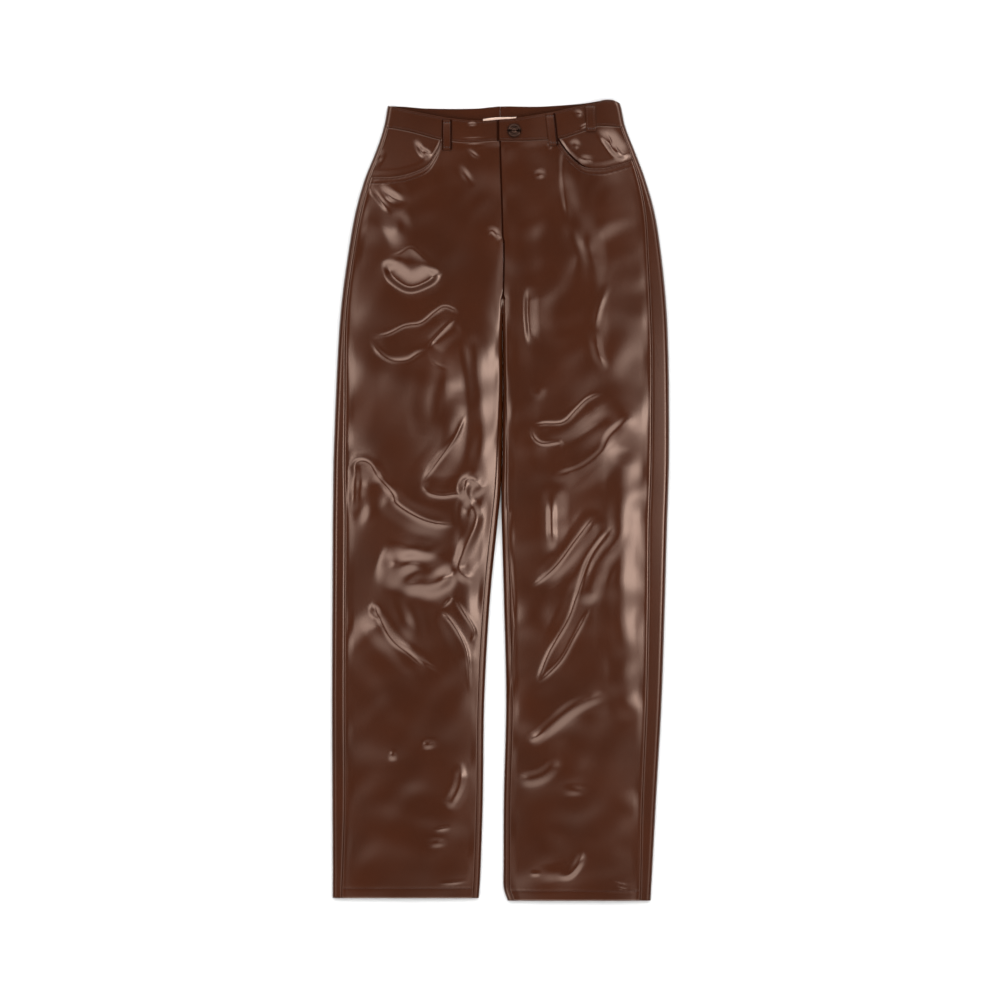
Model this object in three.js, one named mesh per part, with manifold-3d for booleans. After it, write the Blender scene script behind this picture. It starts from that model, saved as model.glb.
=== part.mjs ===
// Faux leather trousers lying flat on their back, in millimetres
// +X is the viewer's right, +Y runs from the hems up to the waist, +Z is up off the surface

import * as THREE from "three";
import { mergeVertices } from "three/addons/utils/BufferGeometryUtils.js";
import Module from "manifold-3d";

const wasm = await Module();
wasm.setup();

// Cloth and how its pieces meet
const CLOTH = 1.3; // thickness of the coated cloth
const BAND = 2.2; // waistband, two layers
const HEM_TURN = 1.1; // extra thickness of the turned-up hem
const HEM_DEPTH = 13; // height of the turned-up hem
const SEAM_GAP = 0.4; // between pieces sewn edge to edge
const LAY_GAP = 0.4; // between pieces that lie on each other
const STEEPEST = 1.8; // most that a slope thickens the wall, measured upwards

// Lengths along the legs
const HEM_LEFT = -535;
const HEM_RIGHT = -538.5;
const CROTCH = 270;
const CROTCH_TURN = 7; // length over which the backs curl up beside the crotch, twice
const CROTCH_EASE = 30; // length below the crotch over which the seam closes to its usual gap
const FLY_END = 346;
const FLY_LAP = 12; // left front under the fly edge
const FLY_STEP = 10; // length over which that lap sets in
const WARP_FROM = 400; // rows above this bend to follow the waist seam
const SEAM_LEVEL = 485; // nominal height of the waist seam

// Edges of the flattened legs
const ROLL = 6.5; // width of the rounding at the outer edge
const ROLL_IN = 5; // width of the rounding at the inner edge
const OUTER_FLANK = 95; // width over which the top rises from the outer edge
const INNER_FLANK = 60;
const INSEAM_INSET = 5; // inseam, in from the inner edge, at the crotch
const INSEAM_INSET_LOW = 8; // the same from the knee down
const KNEE = -60;

// Sections from the waist down, one row for each height y: the outer and inner edges of the two
// legs, the height of the top, of its shoulder beside the outer edge and of its inner shoulders,
// and how far in from the outer edge each side seam lies
const SECTION_COLUMNS = [
  "y", "leftOut", "leftIn", "rightIn", "rightOut",
  "top", "shoulder", "leftInner", "rightInner", "leftInset", "rightInset",
];
const SECTIONS = [
  [540, -149, -0.8, -0.3, 157.5, 12, 9, 11.5, 11.5, 7, 7],
  [531, -151.5, -0.8, -0.3, 161.5, 12, 9, 11.5, 11.5, 7, 7],
  [502, -157, -0.6, -0.1, 168, 12.5, 9.5, 12, 12, 7, 7],
  [471, -167, 0, 0.5, 180, 14, 10, 13.3, 13.3, 7, 7],
  [431, -183, 1.2, 1.7, 195, 16, 10.5, 15, 15, 7, 9],
  [384, -196, 2.6, 3.1, 208, 17.5, 11, 16, 16, 7, 13],
  [329, -205.5, 3.6, 4.1, 216.5, 18, 11, 14.5, 14.5, 7, 18],
  [270, -213.5, 2.6, 3.1, 222.5, 18, 11, 9.6, 9.6, 7, 21],
  [216, -218, 2.7, 3.2, 225.5, 18, 11, 9.2, 9.2, 8.5, 22],
  [135, -222, 3, 3.5, 227, 17.5, 10.5, 9, 9, 12, 23],
  [54, -225, 1.9, 2.4, 227, 17, 10.5, 9, 9, 14, 24],
  [14, -225.5, 0.4, 1, 226, 16.5, 10.5, 9, 9, 15, 24],
  [-27, -226, -3.5, 1.3, 224.5, 16, 10, 9, 9, 16, 24],
  [-134, -226.5, -14, 4.3, 221.5, 15, 10, 9, 9, 16, 22],
  [-269, -227, -21.5, 7.3, 217, 14, 9.5, 9, 9, 16, 20],
  [-403, -226.5, -23.5, 4.2, 209.5, 13, 9.2, 8.8, 8.8, 16, 18],
  [-495, -226, -26.5, 3.8, 204.5, 12.4, 8.8, 8.6, 8.6, 13, 15],
  [-522, -226, -28, 4.2, 203, 11.8, 8.5, 8.4, 8.4, 12, 14],
  [-540, -226, -29.5, 10, 202, 11.5, 8.3, 8.3, 8.3, 12, 14],
];

// Edges of the waistband and of the pocket openings, as x and y
const FRONT_TOP = [
  [-152, 530.5], [-137, 527.2], [-108, 521], [-65, 513.2], [-24, 510], [-5, 511.5],
  [21, 513.5], [71, 522], [100, 528.6], [125, 533.8], [138, 538], [151, 538], [161.5, 533.5],
];
const FRONT_SEAM = [
  [-157, 502.3], [-142, 500.3], [-119, 495.6], [-95, 489], [-79, 484.8], [-45, 481],
  [-5, 483.3], [26, 483.5], [53, 484.8], [80, 487], [100, 492.8], [120, 499.6], [132, 503.5],
  [168, 502.3],
];
const BACK_TOP = [
  [-152, 530.5], [-128, 529.2], [-100, 527], [-34, 526.8], [0, 529.8], [46, 529.4],
  [73, 530.6], [114, 534], [138, 538], [151, 538], [161.5, 533.5],
];
const BACK_SEAM = [[-157, 502.3], [0, 500.3], [168, 502.3]];
const LEFT_POCKET = [
  [-176, 434], [-142, 435], [-118, 440.5], [-97.5, 451], [-85.5, 468.5], [-80, 481.5],
];
const RIGHT_POCKET = [
  [76, 485.5], [83, 475.5], [93.5, 462], [111, 448.5], [134, 446], [154, 450], [190, 461],
];
const FACING_START = 10; // facing that runs on past the pocket's inner end
const FACING_LAP = 15; // facing that runs on under the front
const FACING_DROP = 2.1; // facing below the front's top, under it
const FACING_RISE = 1.0; // less of that drop in the open pocket
const FACING_SETTLE = 12; // over this distance from the pocket's edge

// The largest folds: the leg, the ends and the middle control point of the crest, its rise or
// drop, and its half-widths to the left and right of the way it runs
const FOLD_COLUMNS = ["leg", "x0", "y0", "x1", "y1", "x2", "y2", "rise", "wide0", "wide1"];
const FOLDS = [
  ["left", -182, 430, -155, 410, -128, 392, 2, 10, 12],
  ["left", -150, 327, -116, 256, -85, 312, 2.6, 15, 16],
  ["left", -175, 207, -118, 212, -60, 252, 4, 15, 15],
  ["left", -92, 205, -78, 222, -52, 236, -2.5, 12, 14],
  ["left", -38, 240, -22, 165, -34, 52, 3, 30, 20],
  ["left", -46, 152, -48, 84, -111, 18, 4, 26, 18],
  ["left", -111, 18, -70, 6, -20, 28, 3.2, 14, 14],
  ["left", -204, 46, -180, 54, -162, 22, 3.5, 14, 16],
  ["left", -162, 22, -133, -28, -52, -34, 3.8, 15, 18],
  ["left", -165, -80, -110, -98, -55, -120, 3, 24, 26],
  ["left", -174, -150, -152, -198, -95, -230, 3.2, 14, 16],
  ["left", -80, -146, -58, -180, -42, -229, 2.6, 11, 12],
  ["left", -44, 14, -42, -90, -44, -190, 2, 14, 20],
  ["left", -53, -358, -52, -396, -73, -415, 2.2, 12, 14],
  ["right", 9.5, 312, 9.5, 160, 9.5, 14, 3.2, 10, 9],
  ["right", 25, 312, 27, 170, 25, 38, -4.5, 14, 12],
  ["right", 52, 290, 50, 245, 53, 200, 2.2, 20, 14],
  ["right", 78, 470, 76, 425, 78, 380, -2, 8, 6],
  ["right", 86, 444, 94, 385, 130, 314, 2.8, 16, 12],
  ["right", 135, 292, 120, 235, 132, 168, 2.4, 14, 11],
  ["right", 50, 90, 96, 90, 144, 140, 3.6, 14, 14],
  ["right", 172, 119, 110, 80, 44, 38, -3.4, 18, 18],
  ["right", 182, 130, 133, 74, 64, 18, 2.6, 16, 18],
  ["right", 71, 26, 67, -28, 72, -76, 2.6, 18, 13],
  ["right", 131, -12, 100, -62, 43, -119, 3.6, 13, 12],
  ["right", 152, -22, 122, -76, 62, -128, -2.6, 14, 12],
  ["right", 162, -28, 106, -115, 49, -250, 4, 17, 14],
  ["right", 137, -249, 98, -276, 39, -326, 3.4, 12, 12],
  ["right", 76, -346, 62, -376, 24, -377, 2.2, 11, 11],
  ["right", 110, -472, 104, -504, 46, -502, 1.6, 10, 10],
  ["right", 160, 20, 157, -100, 160, -220, 2, 22, 30],
];
const FOLD_STEPS = 14; // straight steps that a crest is measured along
const FOLD_TAPER = 0.22; // share of its length over which a fold fades out at each end

// How finely the pieces are divided, with rows as the height that each stretch ends at and its count
const FRONT_ACROSS = 15;
const FRONT_ROWS = [
  [CROTCH - CROTCH_TURN, 33], [CROTCH, 1], [CROTCH + CROTCH_TURN, 1],
  [FLY_END, 4], [FLY_END + FLY_STEP, 1], [SEAM_LEVEL, 7],
];
const BACK_ROWS = [
  [CROTCH, 19], [CROTCH + CROTCH_TURN, 1], [CROTCH + 2 * CROTCH_TURN, 1], [SEAM_LEVEL, 9],
];
const FACING_ACROSS = 10;
const FACING_ROWS = 6;
const EDGE_STEPS = 4;
const FLOOR_STEPS = 3;

// Small parts
const LAP_END = 30; // where the left waistband's underlap ends
const LAP_LIFT = BAND + LAY_GAP + 0.2; // how far the button end is lifted by it
const FLY_LIFT = CLOTH + LAY_GAP + 0.2;
const LIFT_HOLD = 3; // a lapping layer stays lifted this far past the edge below it
const LIFT_FADE = 22; // and settles over this distance
const BAND_END = -4.5; // where the right waistband's button end stops
const BAND_PROUD = 0.5;
const BAND_REACH = 14; // part of the waistband over the side that is divided finely
const BAND_BACK_STEPS = 6;
const BAND_FRONT_STEPS = 14;
const LOOP_WIDTH = 13;
const LOOP_CLOTH = 1.4;
const LOOP_BOW = 1.0;
const LOOPS = [
  { name: "belt_loop_front_left", x0: -72, y0: 511, x1: -72, y1: 471 },
  { name: "belt_loop_front_right", x0: 67, y0: 520, x1: 71.5, y1: 477 },
  { name: "belt_loop_side_right", x0: 120.5, y0: 533, x1: 121.5, y1: 496 },
];
const BUTTON_AT = [18.4, 496.5];
const BUTTON_RADIUS = 9;
const TAPE = { x0: -23.5, x1: 21, y0: 494, y1: 513.5, thick: 1 };

const clamp = (t) => Math.min(1, Math.max(0, t));
const smooth = (t) => clamp(t) ** 2 * (3 - 2 * clamp(t));
const lerp = (a, b, t) => a + (b - a) * t;
const flank = (s) => (1 - clamp(s)) ** 2;
const roll = (s) => Math.sqrt(1 - (1 - clamp(s)) ** 2);

// A smooth curve through the rows of a table, from its first column to another
function curve(table, from, to) {
  const rows = [...table].sort((a, b) => a[from] - b[from]);
  const slope = rows.map((row, i) => {
    const [a, b] = [rows[Math.max(0, i - 1)], rows[Math.min(rows.length - 1, i + 1)]];
    return (b[to] - a[to]) / (b[from] - a[from]);
  });
  return (at) => {
    const x = Math.min(rows.at(-1)[from], Math.max(rows[0][from], at));
    const i = Math.max(1, rows.findIndex((row) => row[from] >= x));
    const [a, b] = [rows[i - 1], rows[i]];
    const wide = b[from] - a[from];
    const t = (x - a[from]) / wide;
    const bend0 = slope[i - 1] * wide;
    const bend1 = slope[i] * wide;
    const rise = b[to] - a[to];
    return a[to] + t * (bend0 + t * (3 * rise - 2 * bend0 - bend1 + t * (bend0 + bend1 - 2 * rise)));
  };
}

const section = Object.fromEntries(
  SECTION_COLUMNS.map((name, i) => [name, curve(SECTIONS, 0, i)]),
);
const frontTop = curve(FRONT_TOP, 0, 1);
const frontSeam = curve(FRONT_SEAM, 0, 1);
const backTop = curve(BACK_TOP, 0, 1);
const backSeam = curve(BACK_SEAM, 0, 1);

// The two legs mirror each other's construction: inward is the way from the outer edge in
const LEGS = {
  left: {
    name: "left", inward: 1, hem: HEM_LEFT, pocket: LEFT_POCKET, pocketEdge: curve(LEFT_POCKET, 0, 1),
    out: section.leftOut, in: section.leftIn, inner: section.leftInner, inset: section.leftInset,
  },
  right: {
    name: "right", inward: -1, hem: HEM_RIGHT, pocket: RIGHT_POCKET, pocketEdge: curve(RIGHT_POCKET, 0, 1),
    out: section.rightOut, in: section.rightIn, inner: section.rightInner, inset: section.rightInset,
  },
};

const folds = FOLDS.map((row) => {
  const f = Object.fromEntries(FOLD_COLUMNS.map((name, i) => [name, row[i]]));
  const crest = new THREE.QuadraticBezierCurve(
    new THREE.Vector2(f.x0, f.y0), new THREE.Vector2(f.x1, f.y1), new THREE.Vector2(f.x2, f.y2),
  );
  return { ...f, points: crest.getPoints(FOLD_STEPS), reach: Math.max(f.wide0, f.wide1) };
});

// Rise of one fold at a point, from its distance to the nearest step of the crest
function foldRise(f, x, y) {
  let best = { far: Infinity, t: 0, side: 0 };
  for (let i = 0; i < FOLD_STEPS; i += 1) {
    const [a, b] = [f.points[i], f.points[i + 1]];
    const [dx, dy] = [b.x - a.x, b.y - a.y];
    const t = clamp(((x - a.x) * dx + (y - a.y) * dy) / (dx * dx + dy * dy));
    const far = Math.hypot(x - a.x - t * dx, y - a.y - t * dy);
    if (far < best.far) best = { far, t: (i + t) / FOLD_STEPS, side: dx * (y - a.y) - dy * (x - a.x) };
  }
  const s = clamp(best.far / (best.side > 0 ? f.wide0 : f.wide1));
  const ends = smooth(best.t / FOLD_TAPER) * smooth((1 - best.t) / FOLD_TAPER);
  return f.rise * ends * (1 - s) ** 2 * (1 + 2 * s);
}

// Height of the outer surface of the top layer, before anything laps under it
function topHeight(leg, x, y, withFolds = true) {
  const out = Math.max(0, (x - leg.out(y)) * leg.inward);
  const inn = Math.max(0, (leg.in(y) - x) * leg.inward);
  const [top, shoulder, inner] = [section.top(y), section.shoulder(y), leg.inner(y)];
  const round = roll(out / ROLL) * (y > CROTCH + CROTCH_TURN / 2 ? 1 : roll(inn / ROLL_IN));
  let z = top - (top - shoulder) * flank(out / OUTER_FLANK) - (top - inner) * flank(inn / INNER_FLANK);
  z -= (shoulder / 2) * (1 - roll(out / ROLL));
  if (y <= CROTCH + CROTCH_TURN / 2) z -= (inner / 2) * (1 - roll(inn / ROLL_IN));
  if (!withFolds) return z;
  for (const f of folds) if (f.leg === leg.name) z += round * foldRise(f, x, y);
  return z;
}

// The right front lies on the left one's underlap beside the fly
function flyLift(leg, x, y) {
  if (leg.name === "left") return 0;
  const past = x - leg.in(y) - FLY_LAP;
  const below = FLY_END - y;
  const settle = (far) => 1 - smooth((far - LIFT_HOLD) / LIFT_FADE);
  return FLY_LIFT * settle(below) * settle(past);
}

const wallAt = (leg, y) => CLOTH + HEM_TURN * (1 - smooth((y - leg.hem - HEM_DEPTH + 2) / 2));

// Heights of the two faces of a wall whose top is the function z
function faces(z, x, y, thick) {
  const step = 0.5;
  const slopeX = (z(x + step, y) - z(x - step, y)) / (2 * step);
  const slopeY = (z(x, y + step) - z(x, y - step)) / (2 * step);
  const down = thick * Math.min(STEEPEST, Math.hypot(1, slopeX, slopeY));
  return [new THREE.Vector3(x, y, z(x, y)), new THREE.Vector3(x, y, z(x, y) - down)];
}

// A closed wall between an outer and an inner grid of points of the same size
function wall(outer, inner) {
  const [rows, columns] = [outer.length, outer[0].length];
  const points = [...outer.flat(), ...inner.flat()];
  const at = (layer, j, i) => layer * rows * columns + j * columns + i;
  const index = [];
  const quad = (a, b, c, d) => index.push(a, b, c, a, c, d);
  for (let j = 0; j + 1 < rows; j += 1) {
    for (let i = 0; i + 1 < columns; i += 1) {
      quad(at(0, j, i), at(0, j, i + 1), at(0, j + 1, i + 1), at(0, j + 1, i));
      quad(at(1, j, i), at(1, j + 1, i), at(1, j + 1, i + 1), at(1, j, i + 1));
    }
    quad(at(0, j, 0), at(0, j + 1, 0), at(1, j + 1, 0), at(1, j, 0));
    const last = columns - 1;
    quad(at(0, j, last), at(1, j, last), at(1, j + 1, last), at(0, j + 1, last));
  }
  for (let i = 0; i + 1 < columns; i += 1) {
    quad(at(0, 0, i), at(1, 0, i), at(1, 0, i + 1), at(0, 0, i + 1));
    const last = rows - 1;
    quad(at(0, last, i), at(0, last, i + 1), at(1, last, i + 1), at(1, last, i));
  }
  const geometry = new THREE.BufferGeometry().setFromPoints(points);
  geometry.setIndex(index);
  if (volume(geometry) < 0) geometry.setIndex(index.reverse());
  return geometry;
}

function volume(geometry) {
  const [place, index] = [geometry.attributes.position, geometry.index];
  const corner = (k) => new THREE.Vector3().fromBufferAttribute(place, index.getX(k));
  let sum = 0;
  for (let k = 0; k < index.count; k += 3) {
    sum += corner(k).dot(corner(k + 1).cross(corner(k + 2))) / 6;
  }
  return sum;
}

// Row heights from the hem up: the turned-up hem and the short stretch above it, then those listed
function rowHeights(hem, stretches) {
  const rows = [hem, hem + HEM_DEPTH - 2, hem + HEM_DEPTH, hem + 2 * HEM_DEPTH, hem + 3 * HEM_DEPTH];
  for (const [to, count] of stretches) {
    const from = rows.at(-1);
    for (let k = 1; k <= count; k += 1) rows.push(lerp(from, to, k / count));
  }
  return rows;
}

// Above WARP_FROM a row bends so that the last one follows the waist seam
function warp(y, seam) {
  if (y <= WARP_FROM) return y;
  return lerp(WARP_FROM, seam, (y - WARP_FROM) / (SEAM_LEVEL - WARP_FROM));
}

function inseamInset(y) {
  return lerp(INSEAM_INSET_LOW, INSEAM_INSET, smooth((y - KNEE) / (CROTCH - KNEE)));
}

function sideSeam(leg, y) {
  return leg.out(y) + leg.inward * leg.inset(y);
}

// Inner edge of a front: the fly and centre seam above the crotch, the inseam below it
function frontInnerEdge(leg, y) {
  const gap = SEAM_GAP * (1 + smooth(1 - (CROTCH - y) / CROTCH_EASE));
  if (y <= CROTCH) return leg.in(y) - leg.inward * (inseamInset(y) + gap);
  const turn = smooth((CROTCH + CROTCH_TURN - y) / CROTCH_TURN);
  const lap = leg.name === "left" ? FLY_LAP * smooth((y - FLY_END) / FLY_STEP) : 0;
  return leg.in(y) + lap - leg.inward * turn * (INSEAM_INSET + gap);
}

function frontPanel(leg) {
  const z = (x, y) => topHeight(leg, x, y) + flyLift(leg, x, y);
  const [outer, inner] = [[], []];
  for (const level of rowHeights(leg.hem, FRONT_ROWS)) {
    const points = [];
    for (let i = 0; i <= FRONT_ACROSS; i += 1) {
      const across = i / FRONT_ACROSS;
      let y = level;
      let x = 0;
      for (let pass = 0; pass < 4; pass += 1) {
        x = lerp(sideSeam(leg, y) + leg.inward * SEAM_GAP, frontInnerEdge(leg, y), across);
        y = warp(level, frontSeam(x) - SEAM_GAP);
      }
      points.push(faces(z, x, y, wallAt(leg, y)));
    }
    outer.push(points.map((p) => p[0]));
    inner.push(points.map((p) => p[1]));
  }
  return cutPocket(wall(outer, inner), leg);
}

function solid(geometry) {
  const bare = geometry.clone();
  bare.deleteAttribute("normal");
  bare.deleteAttribute("uv");
  const merged = mergeVertices(bare, 1e-4);
  return new wasm.Manifold(new wasm.Mesh({
    numProp: 3,
    vertProperties: Float32Array.from(merged.attributes.position.array),
    triVerts: Uint32Array.from(merged.index.array),
  }));
}

function geometryOf(body) {
  const mesh = body.getMesh();
  const geometry = new THREE.BufferGeometry();
  geometry.setAttribute("position", new THREE.BufferAttribute(mesh.vertProperties, 3));
  geometry.setIndex(new THREE.BufferAttribute(mesh.triVerts, 1));
  return geometry;
}

// The scoop of a front pocket, cut down through the front by a block that clears it all round
function cutPocket(panel, leg) {
  const [first, last] = [leg.pocket[0], leg.pocket.at(-1)];
  const shape = new THREE.Shape();
  const steps = 16;
  const [above, aside, below, depth] = [520, 5, -20, 60];
  for (let k = 0; k <= steps; k += 1) {
    const x = lerp(first[0], last[0], k / steps);
    const y = leg.pocketEdge(x);
    if (k === 0) shape.moveTo(x, y);
    else shape.lineTo(x, y);
  }
  shape.lineTo(last[0] + aside, above);
  shape.lineTo(first[0] - aside, above);
  const cutter = new THREE.ExtrudeGeometry(shape, { depth, bevelEnabled: false });
  cutter.translate(0, 0, below);
  return geometryOf(solid(panel).subtract(solid(cutter)));
}

// A pocket facing, from under the front out to the side seam and up to the waistband
function pocketFacing(leg) {
  const mouth = leg.name === "left" ? leg.pocket.at(-1)[0] : leg.pocket[0][0];
  const start = mouth + leg.inward * FACING_START;
  const z = (x, y) => {
    const open = smooth((y - leg.pocketEdge(x)) / FACING_SETTLE);
    return topHeight(leg, x, y, false) - FACING_DROP + FACING_RISE * open;
  };
  const [outer, inner] = [[], []];
  for (let j = 0; j <= FACING_ROWS; j += 1) {
    const points = [];
    for (let i = 0; i <= FACING_ACROSS; i += 1) {
      let [x, y] = [start, SEAM_LEVEL];
      for (let pass = 0; pass < 4; pass += 1) {
        x = lerp(start, sideSeam(leg, y) + leg.inward * SEAM_GAP, i / FACING_ACROSS);
        y = lerp(leg.pocketEdge(x) - FACING_LAP, frontSeam(x) - SEAM_GAP, j / FACING_ROWS);
      }
      points.push(faces(z, x, y, CLOTH));
    }
    outer.push(points.map((p) => p[0]));
    inner.push(points.map((p) => p[1]));
  }
  return wall(outer, inner);
}

// Stations round a section, each as the layer it is on and how far along that layer it lies
function stations(layer, from, to, count, skipFirst = true) {
  const list = [];
  for (let k = skipFirst ? 1 : 0; k <= count; k += 1) list.push({ layer, t: lerp(from, to, k / count) });
  return list;
}

// A point of the outer skin with its outward normal, both in the plane of one section
function skin(leg, y, station, reach, z) {
  const { layer, t } = station;
  const quarter = Math.PI / 2;
  const edge = leg.out(y);
  const inside = leg.in(y);
  const half = section.shoulder(y) / 2;
  const halfIn = leg.inner(y) / 2;
  if (layer === "over") {
    const along = (s) => reach * (1 - Math.cos(s * quarter));
    const point = (s) => [edge + leg.inward * along(s), z(edge + leg.inward * along(s), y)];
    return pointWithNormal(point, t, leg.inward, -leg.inward);
  }
  if (layer === "under") {
    const [c, s] = [Math.cos(t * quarter), Math.sin(t * quarter)];
    const n = new THREE.Vector2((-leg.inward * c) / ROLL, -s / half).normalize();
    return { x: edge + leg.inward * ROLL * (1 - c), z: half * (1 - s), nx: n.x, nz: n.y };
  }
  if (layer === "floor") {
    const x = lerp(edge + leg.inward * ROLL, inside - leg.inward * ROLL_IN, t);
    return { x, z: 0, nx: 0, nz: -1 };
  }
  if (layer === "underIn") {
    const [c, s] = [Math.cos(t * quarter), Math.sin(t * quarter)];
    const n = new THREE.Vector2((leg.inward * c) / ROLL_IN, -s / halfIn).normalize();
    return { x: inside - leg.inward * ROLL_IN * (1 - c), z: halfIn * (1 - s), nx: n.x, nz: n.y };
  }
  const inset = inseamInset(y);
  const along = (s) => inside - leg.inward * inset * (1 - Math.cos(s * quarter));
  return pointWithNormal((s) => [along(s), z(along(s), y)], t, -leg.inward, leg.inward);
}

// At the very edge the skin is upright; beyond it the normal is square to the curve, and the
// seam at its end is cut straight down
function pointWithNormal(point, t, travel, outwardAtEdge) {
  const [x, z] = point(t);
  if (t < 1e-6) return { x, z, nx: outwardAtEdge, nz: 0 };
  if (t > 1 - 1e-6) return { x, z, nx: 0, nz: 1 };
  const [ax, az] = point(Math.max(0, t - 0.02));
  const [bx, bz] = point(Math.min(1, t + 0.02));
  const n = new THREE.Vector2(-(bz - az) * travel, (bx - ax) * travel).normalize();
  return { x, z, nx: n.x, nz: n.y };
}

const inward = (p, y, thick) => [
  new THREE.Vector3(p.x, y, p.z),
  new THREE.Vector3(p.x - p.nx * thick, y, p.z - p.nz * thick),
];

// Beside the crotch the inner part of a back lies flat, stands up, then rolls over to the inseam
function backInner(leg, y, k, count, z) {
  const thick = wallAt(leg, y);
  const share = k / count;
  if (y > CROTCH + 1.5 * CROTCH_TURN) {
    const x = leg.in(y) - leg.inward * ROLL_IN * (1 - share);
    return inward({ x, z: 0, nx: 0, nz: -1 }, y, thick);
  }
  if (y > CROTCH + 0.5 * CROTCH_TURN && share > 0.5) {
    const rise = lerp(leg.inner(y) / 2, leg.inner(y) - 4, 2 * share - 1);
    return inward({ x: leg.in(y), z: rise, nx: leg.inward, nz: 0 }, y, thick);
  }
  const under = share <= 0.5;
  const station = { layer: under ? "underIn" : "overIn", t: Math.abs(2 * share - 1) };
  return inward(skin(leg, y, station, 0, z), y, thick);
}

function backPanel(leg) {
  const z = (x, y) => topHeight(leg, x, y);
  const list = [
    ...stations("over", 1, 0, EDGE_STEPS, false),
    ...stations("under", 0, 1, EDGE_STEPS - 1),
    ...stations("floor", 0, 1, FLOOR_STEPS),
  ];
  const innerCount = 2 * (EDGE_STEPS - 1);
  const [outer, inner] = [[], []];
  for (const level of rowHeights(leg.hem, BACK_ROWS)) {
    const points = list.map((station) => {
      let y = level;
      let p = null;
      for (let pass = 0; pass < 4; pass += 1) {
        p = skin(leg, y, station, leg.inset(y), z);
        const seam = station.layer === "over" ? frontSeam(p.x) : backSeam(p.x);
        y = warp(level, seam - SEAM_GAP);
      }
      return inward(p, y, wallAt(leg, y));
    });
    for (let k = 1; k <= innerCount; k += 1) {
      const y = warp(level, backSeam(leg.in(level)) - SEAM_GAP);
      points.push(backInner(leg, y, k, innerCount, z));
    }
    outer.push(points.map((p) => p[0]));
    inner.push(points.map((p) => p[1]));
  }
  return wall(outer, inner);
}

// Top of the waistband: a little proud of the cloth, and lifted where the underlap lies below it
function bandHeight(leg, x, y) {
  const out = (x - leg.out(y)) * leg.inward;
  const lift = leg.name === "right" ? LAP_LIFT * (1 - smooth((x - LAP_END - LIFT_HOLD) / LIFT_FADE)) : 0;
  return topHeight(leg, x, y, false) + BAND_PROUD * roll(out / ROLL) + lift;
}

// Half a waistband, from the centre-back seam along the surface, round the side and over to the front
function waistband(leg) {
  const z = (x, y) => bandHeight(leg, x, y);
  const end = leg.name === "left" ? LAP_END : BAND_END;
  const list = [
    ...stations("back", 0, 1, BAND_BACK_STEPS, false),
    ...stations("under", 1, 0, EDGE_STEPS - 1),
    ...stations("over", 0, 1, EDGE_STEPS),
    ...stations("front", 0, 1, BAND_FRONT_STEPS),
  ];
  const [outer, inner] = [[], []];
  for (const share of [0, 0.5, 1]) {
    const points = list.map(({ layer, t }) => {
      let y = SEAM_LEVEL;
      let pair = null;
      for (let pass = 0; pass < 4; pass += 1) {
        let p = null;
        const edge = leg.out(y);
        if (layer === "back") p = { x: lerp(leg.in(y), edge + leg.inward * ROLL, t), z: 0, nx: 0, nz: -1 };
        else if (layer === "front") p = { x: lerp(edge + leg.inward * BAND_REACH, end, t) };
        else p = skin(leg, y, { layer, t }, BAND_REACH, z);
        const front = layer === "over" || layer === "front";
        y = front ? lerp(frontSeam(p.x), frontTop(p.x), share) : lerp(backSeam(p.x), backTop(p.x), share);
        pair = layer === "front" ? faces(z, p.x, y, BAND) : inward(p, y, BAND);
      }
      return pair;
    });
    outer.push(points.map((p) => p[0]));
    inner.push(points.map((p) => p[1]));
  }
  return wall(outer, inner);
}

const legAt = (x, y) => (x < LEGS.right.in(y) ? LEGS.left : LEGS.right);

// A belt loop: a folded strip sewn down at its two ends and bowed a little between them
function beltLoop({ x0, y0, x1, y1 }) {
  const steps = 8;
  const [outer, inner] = [[], []];
  for (let j = 0; j <= steps; j += 1) {
    const t = j / steps;
    const [x, y] = [lerp(x0, x1, t), lerp(y0, y1, t)];
    const row = [-0.5, -0.17, 0.17, 0.5].map((side) => {
      const px = x + side * LOOP_WIDTH;
      const seat = bandHeight(legAt(px, y), px, y) + LAY_GAP + LOOP_BOW * Math.sin(Math.PI * t);
      return [new THREE.Vector3(px, y, seat + LOOP_CLOTH), new THREE.Vector3(px, y, seat)];
    });
    outer.push(row.map((p) => p[0]));
    inner.push(row.map((p) => p[1]));
  }
  return wall(outer, inner);
}

// The shank button: a stem, a dished cap with a rounded rim and a raised middle
function buttonGeometry() {
  const profile = [
    [0, 0], [3, 0], [3, 1.2], [7.6, 1.4], [BUTTON_RADIUS, 2.4], [BUTTON_RADIUS, 3.4], [8.3, 4.4],
    [7.2, 4.8], [6.1, 4.3], [5.4, 3.2], [3.6, 3], [2.4, 3.6], [0, 4],
  ].map(([r, h]) => new THREE.Vector2(r, h));
  const geometry = new THREE.LatheGeometry(profile, 20);
  geometry.rotateX(Math.PI / 2);
  return geometry;
}

const LEATHER = { color: 0x4d2a1a, roughness: 0.32, metalness: 0 };
const INSIDE = { color: 0x5a3a2b, roughness: 0.7, metalness: 0 };
const METAL = { color: 0x3a2a22, roughness: 0.3, metalness: 0.9 };
const TAPE_CLOTH = { color: 0xd9c3b4, roughness: 0.9, metalness: 0 };

const trousers = new THREE.Group();

function add(name, geometry, look) {
  const mesh = new THREE.Mesh(geometry, new THREE.MeshStandardMaterial(look));
  mesh.name = name;
  trousers.add(mesh);
  return mesh;
}

for (const leg of Object.values(LEGS)) {
  add(`front_panel_${leg.name}`, frontPanel(leg), LEATHER);
  add(`back_panel_${leg.name}`, backPanel(leg), LEATHER);
  add(`pocket_facing_${leg.name}`, pocketFacing(leg), LEATHER);
  add(`waistband_${leg.name}`, waistband(leg), LEATHER);
}
for (const loop of LOOPS) add(loop.name, beltLoop(loop), LEATHER);

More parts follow.
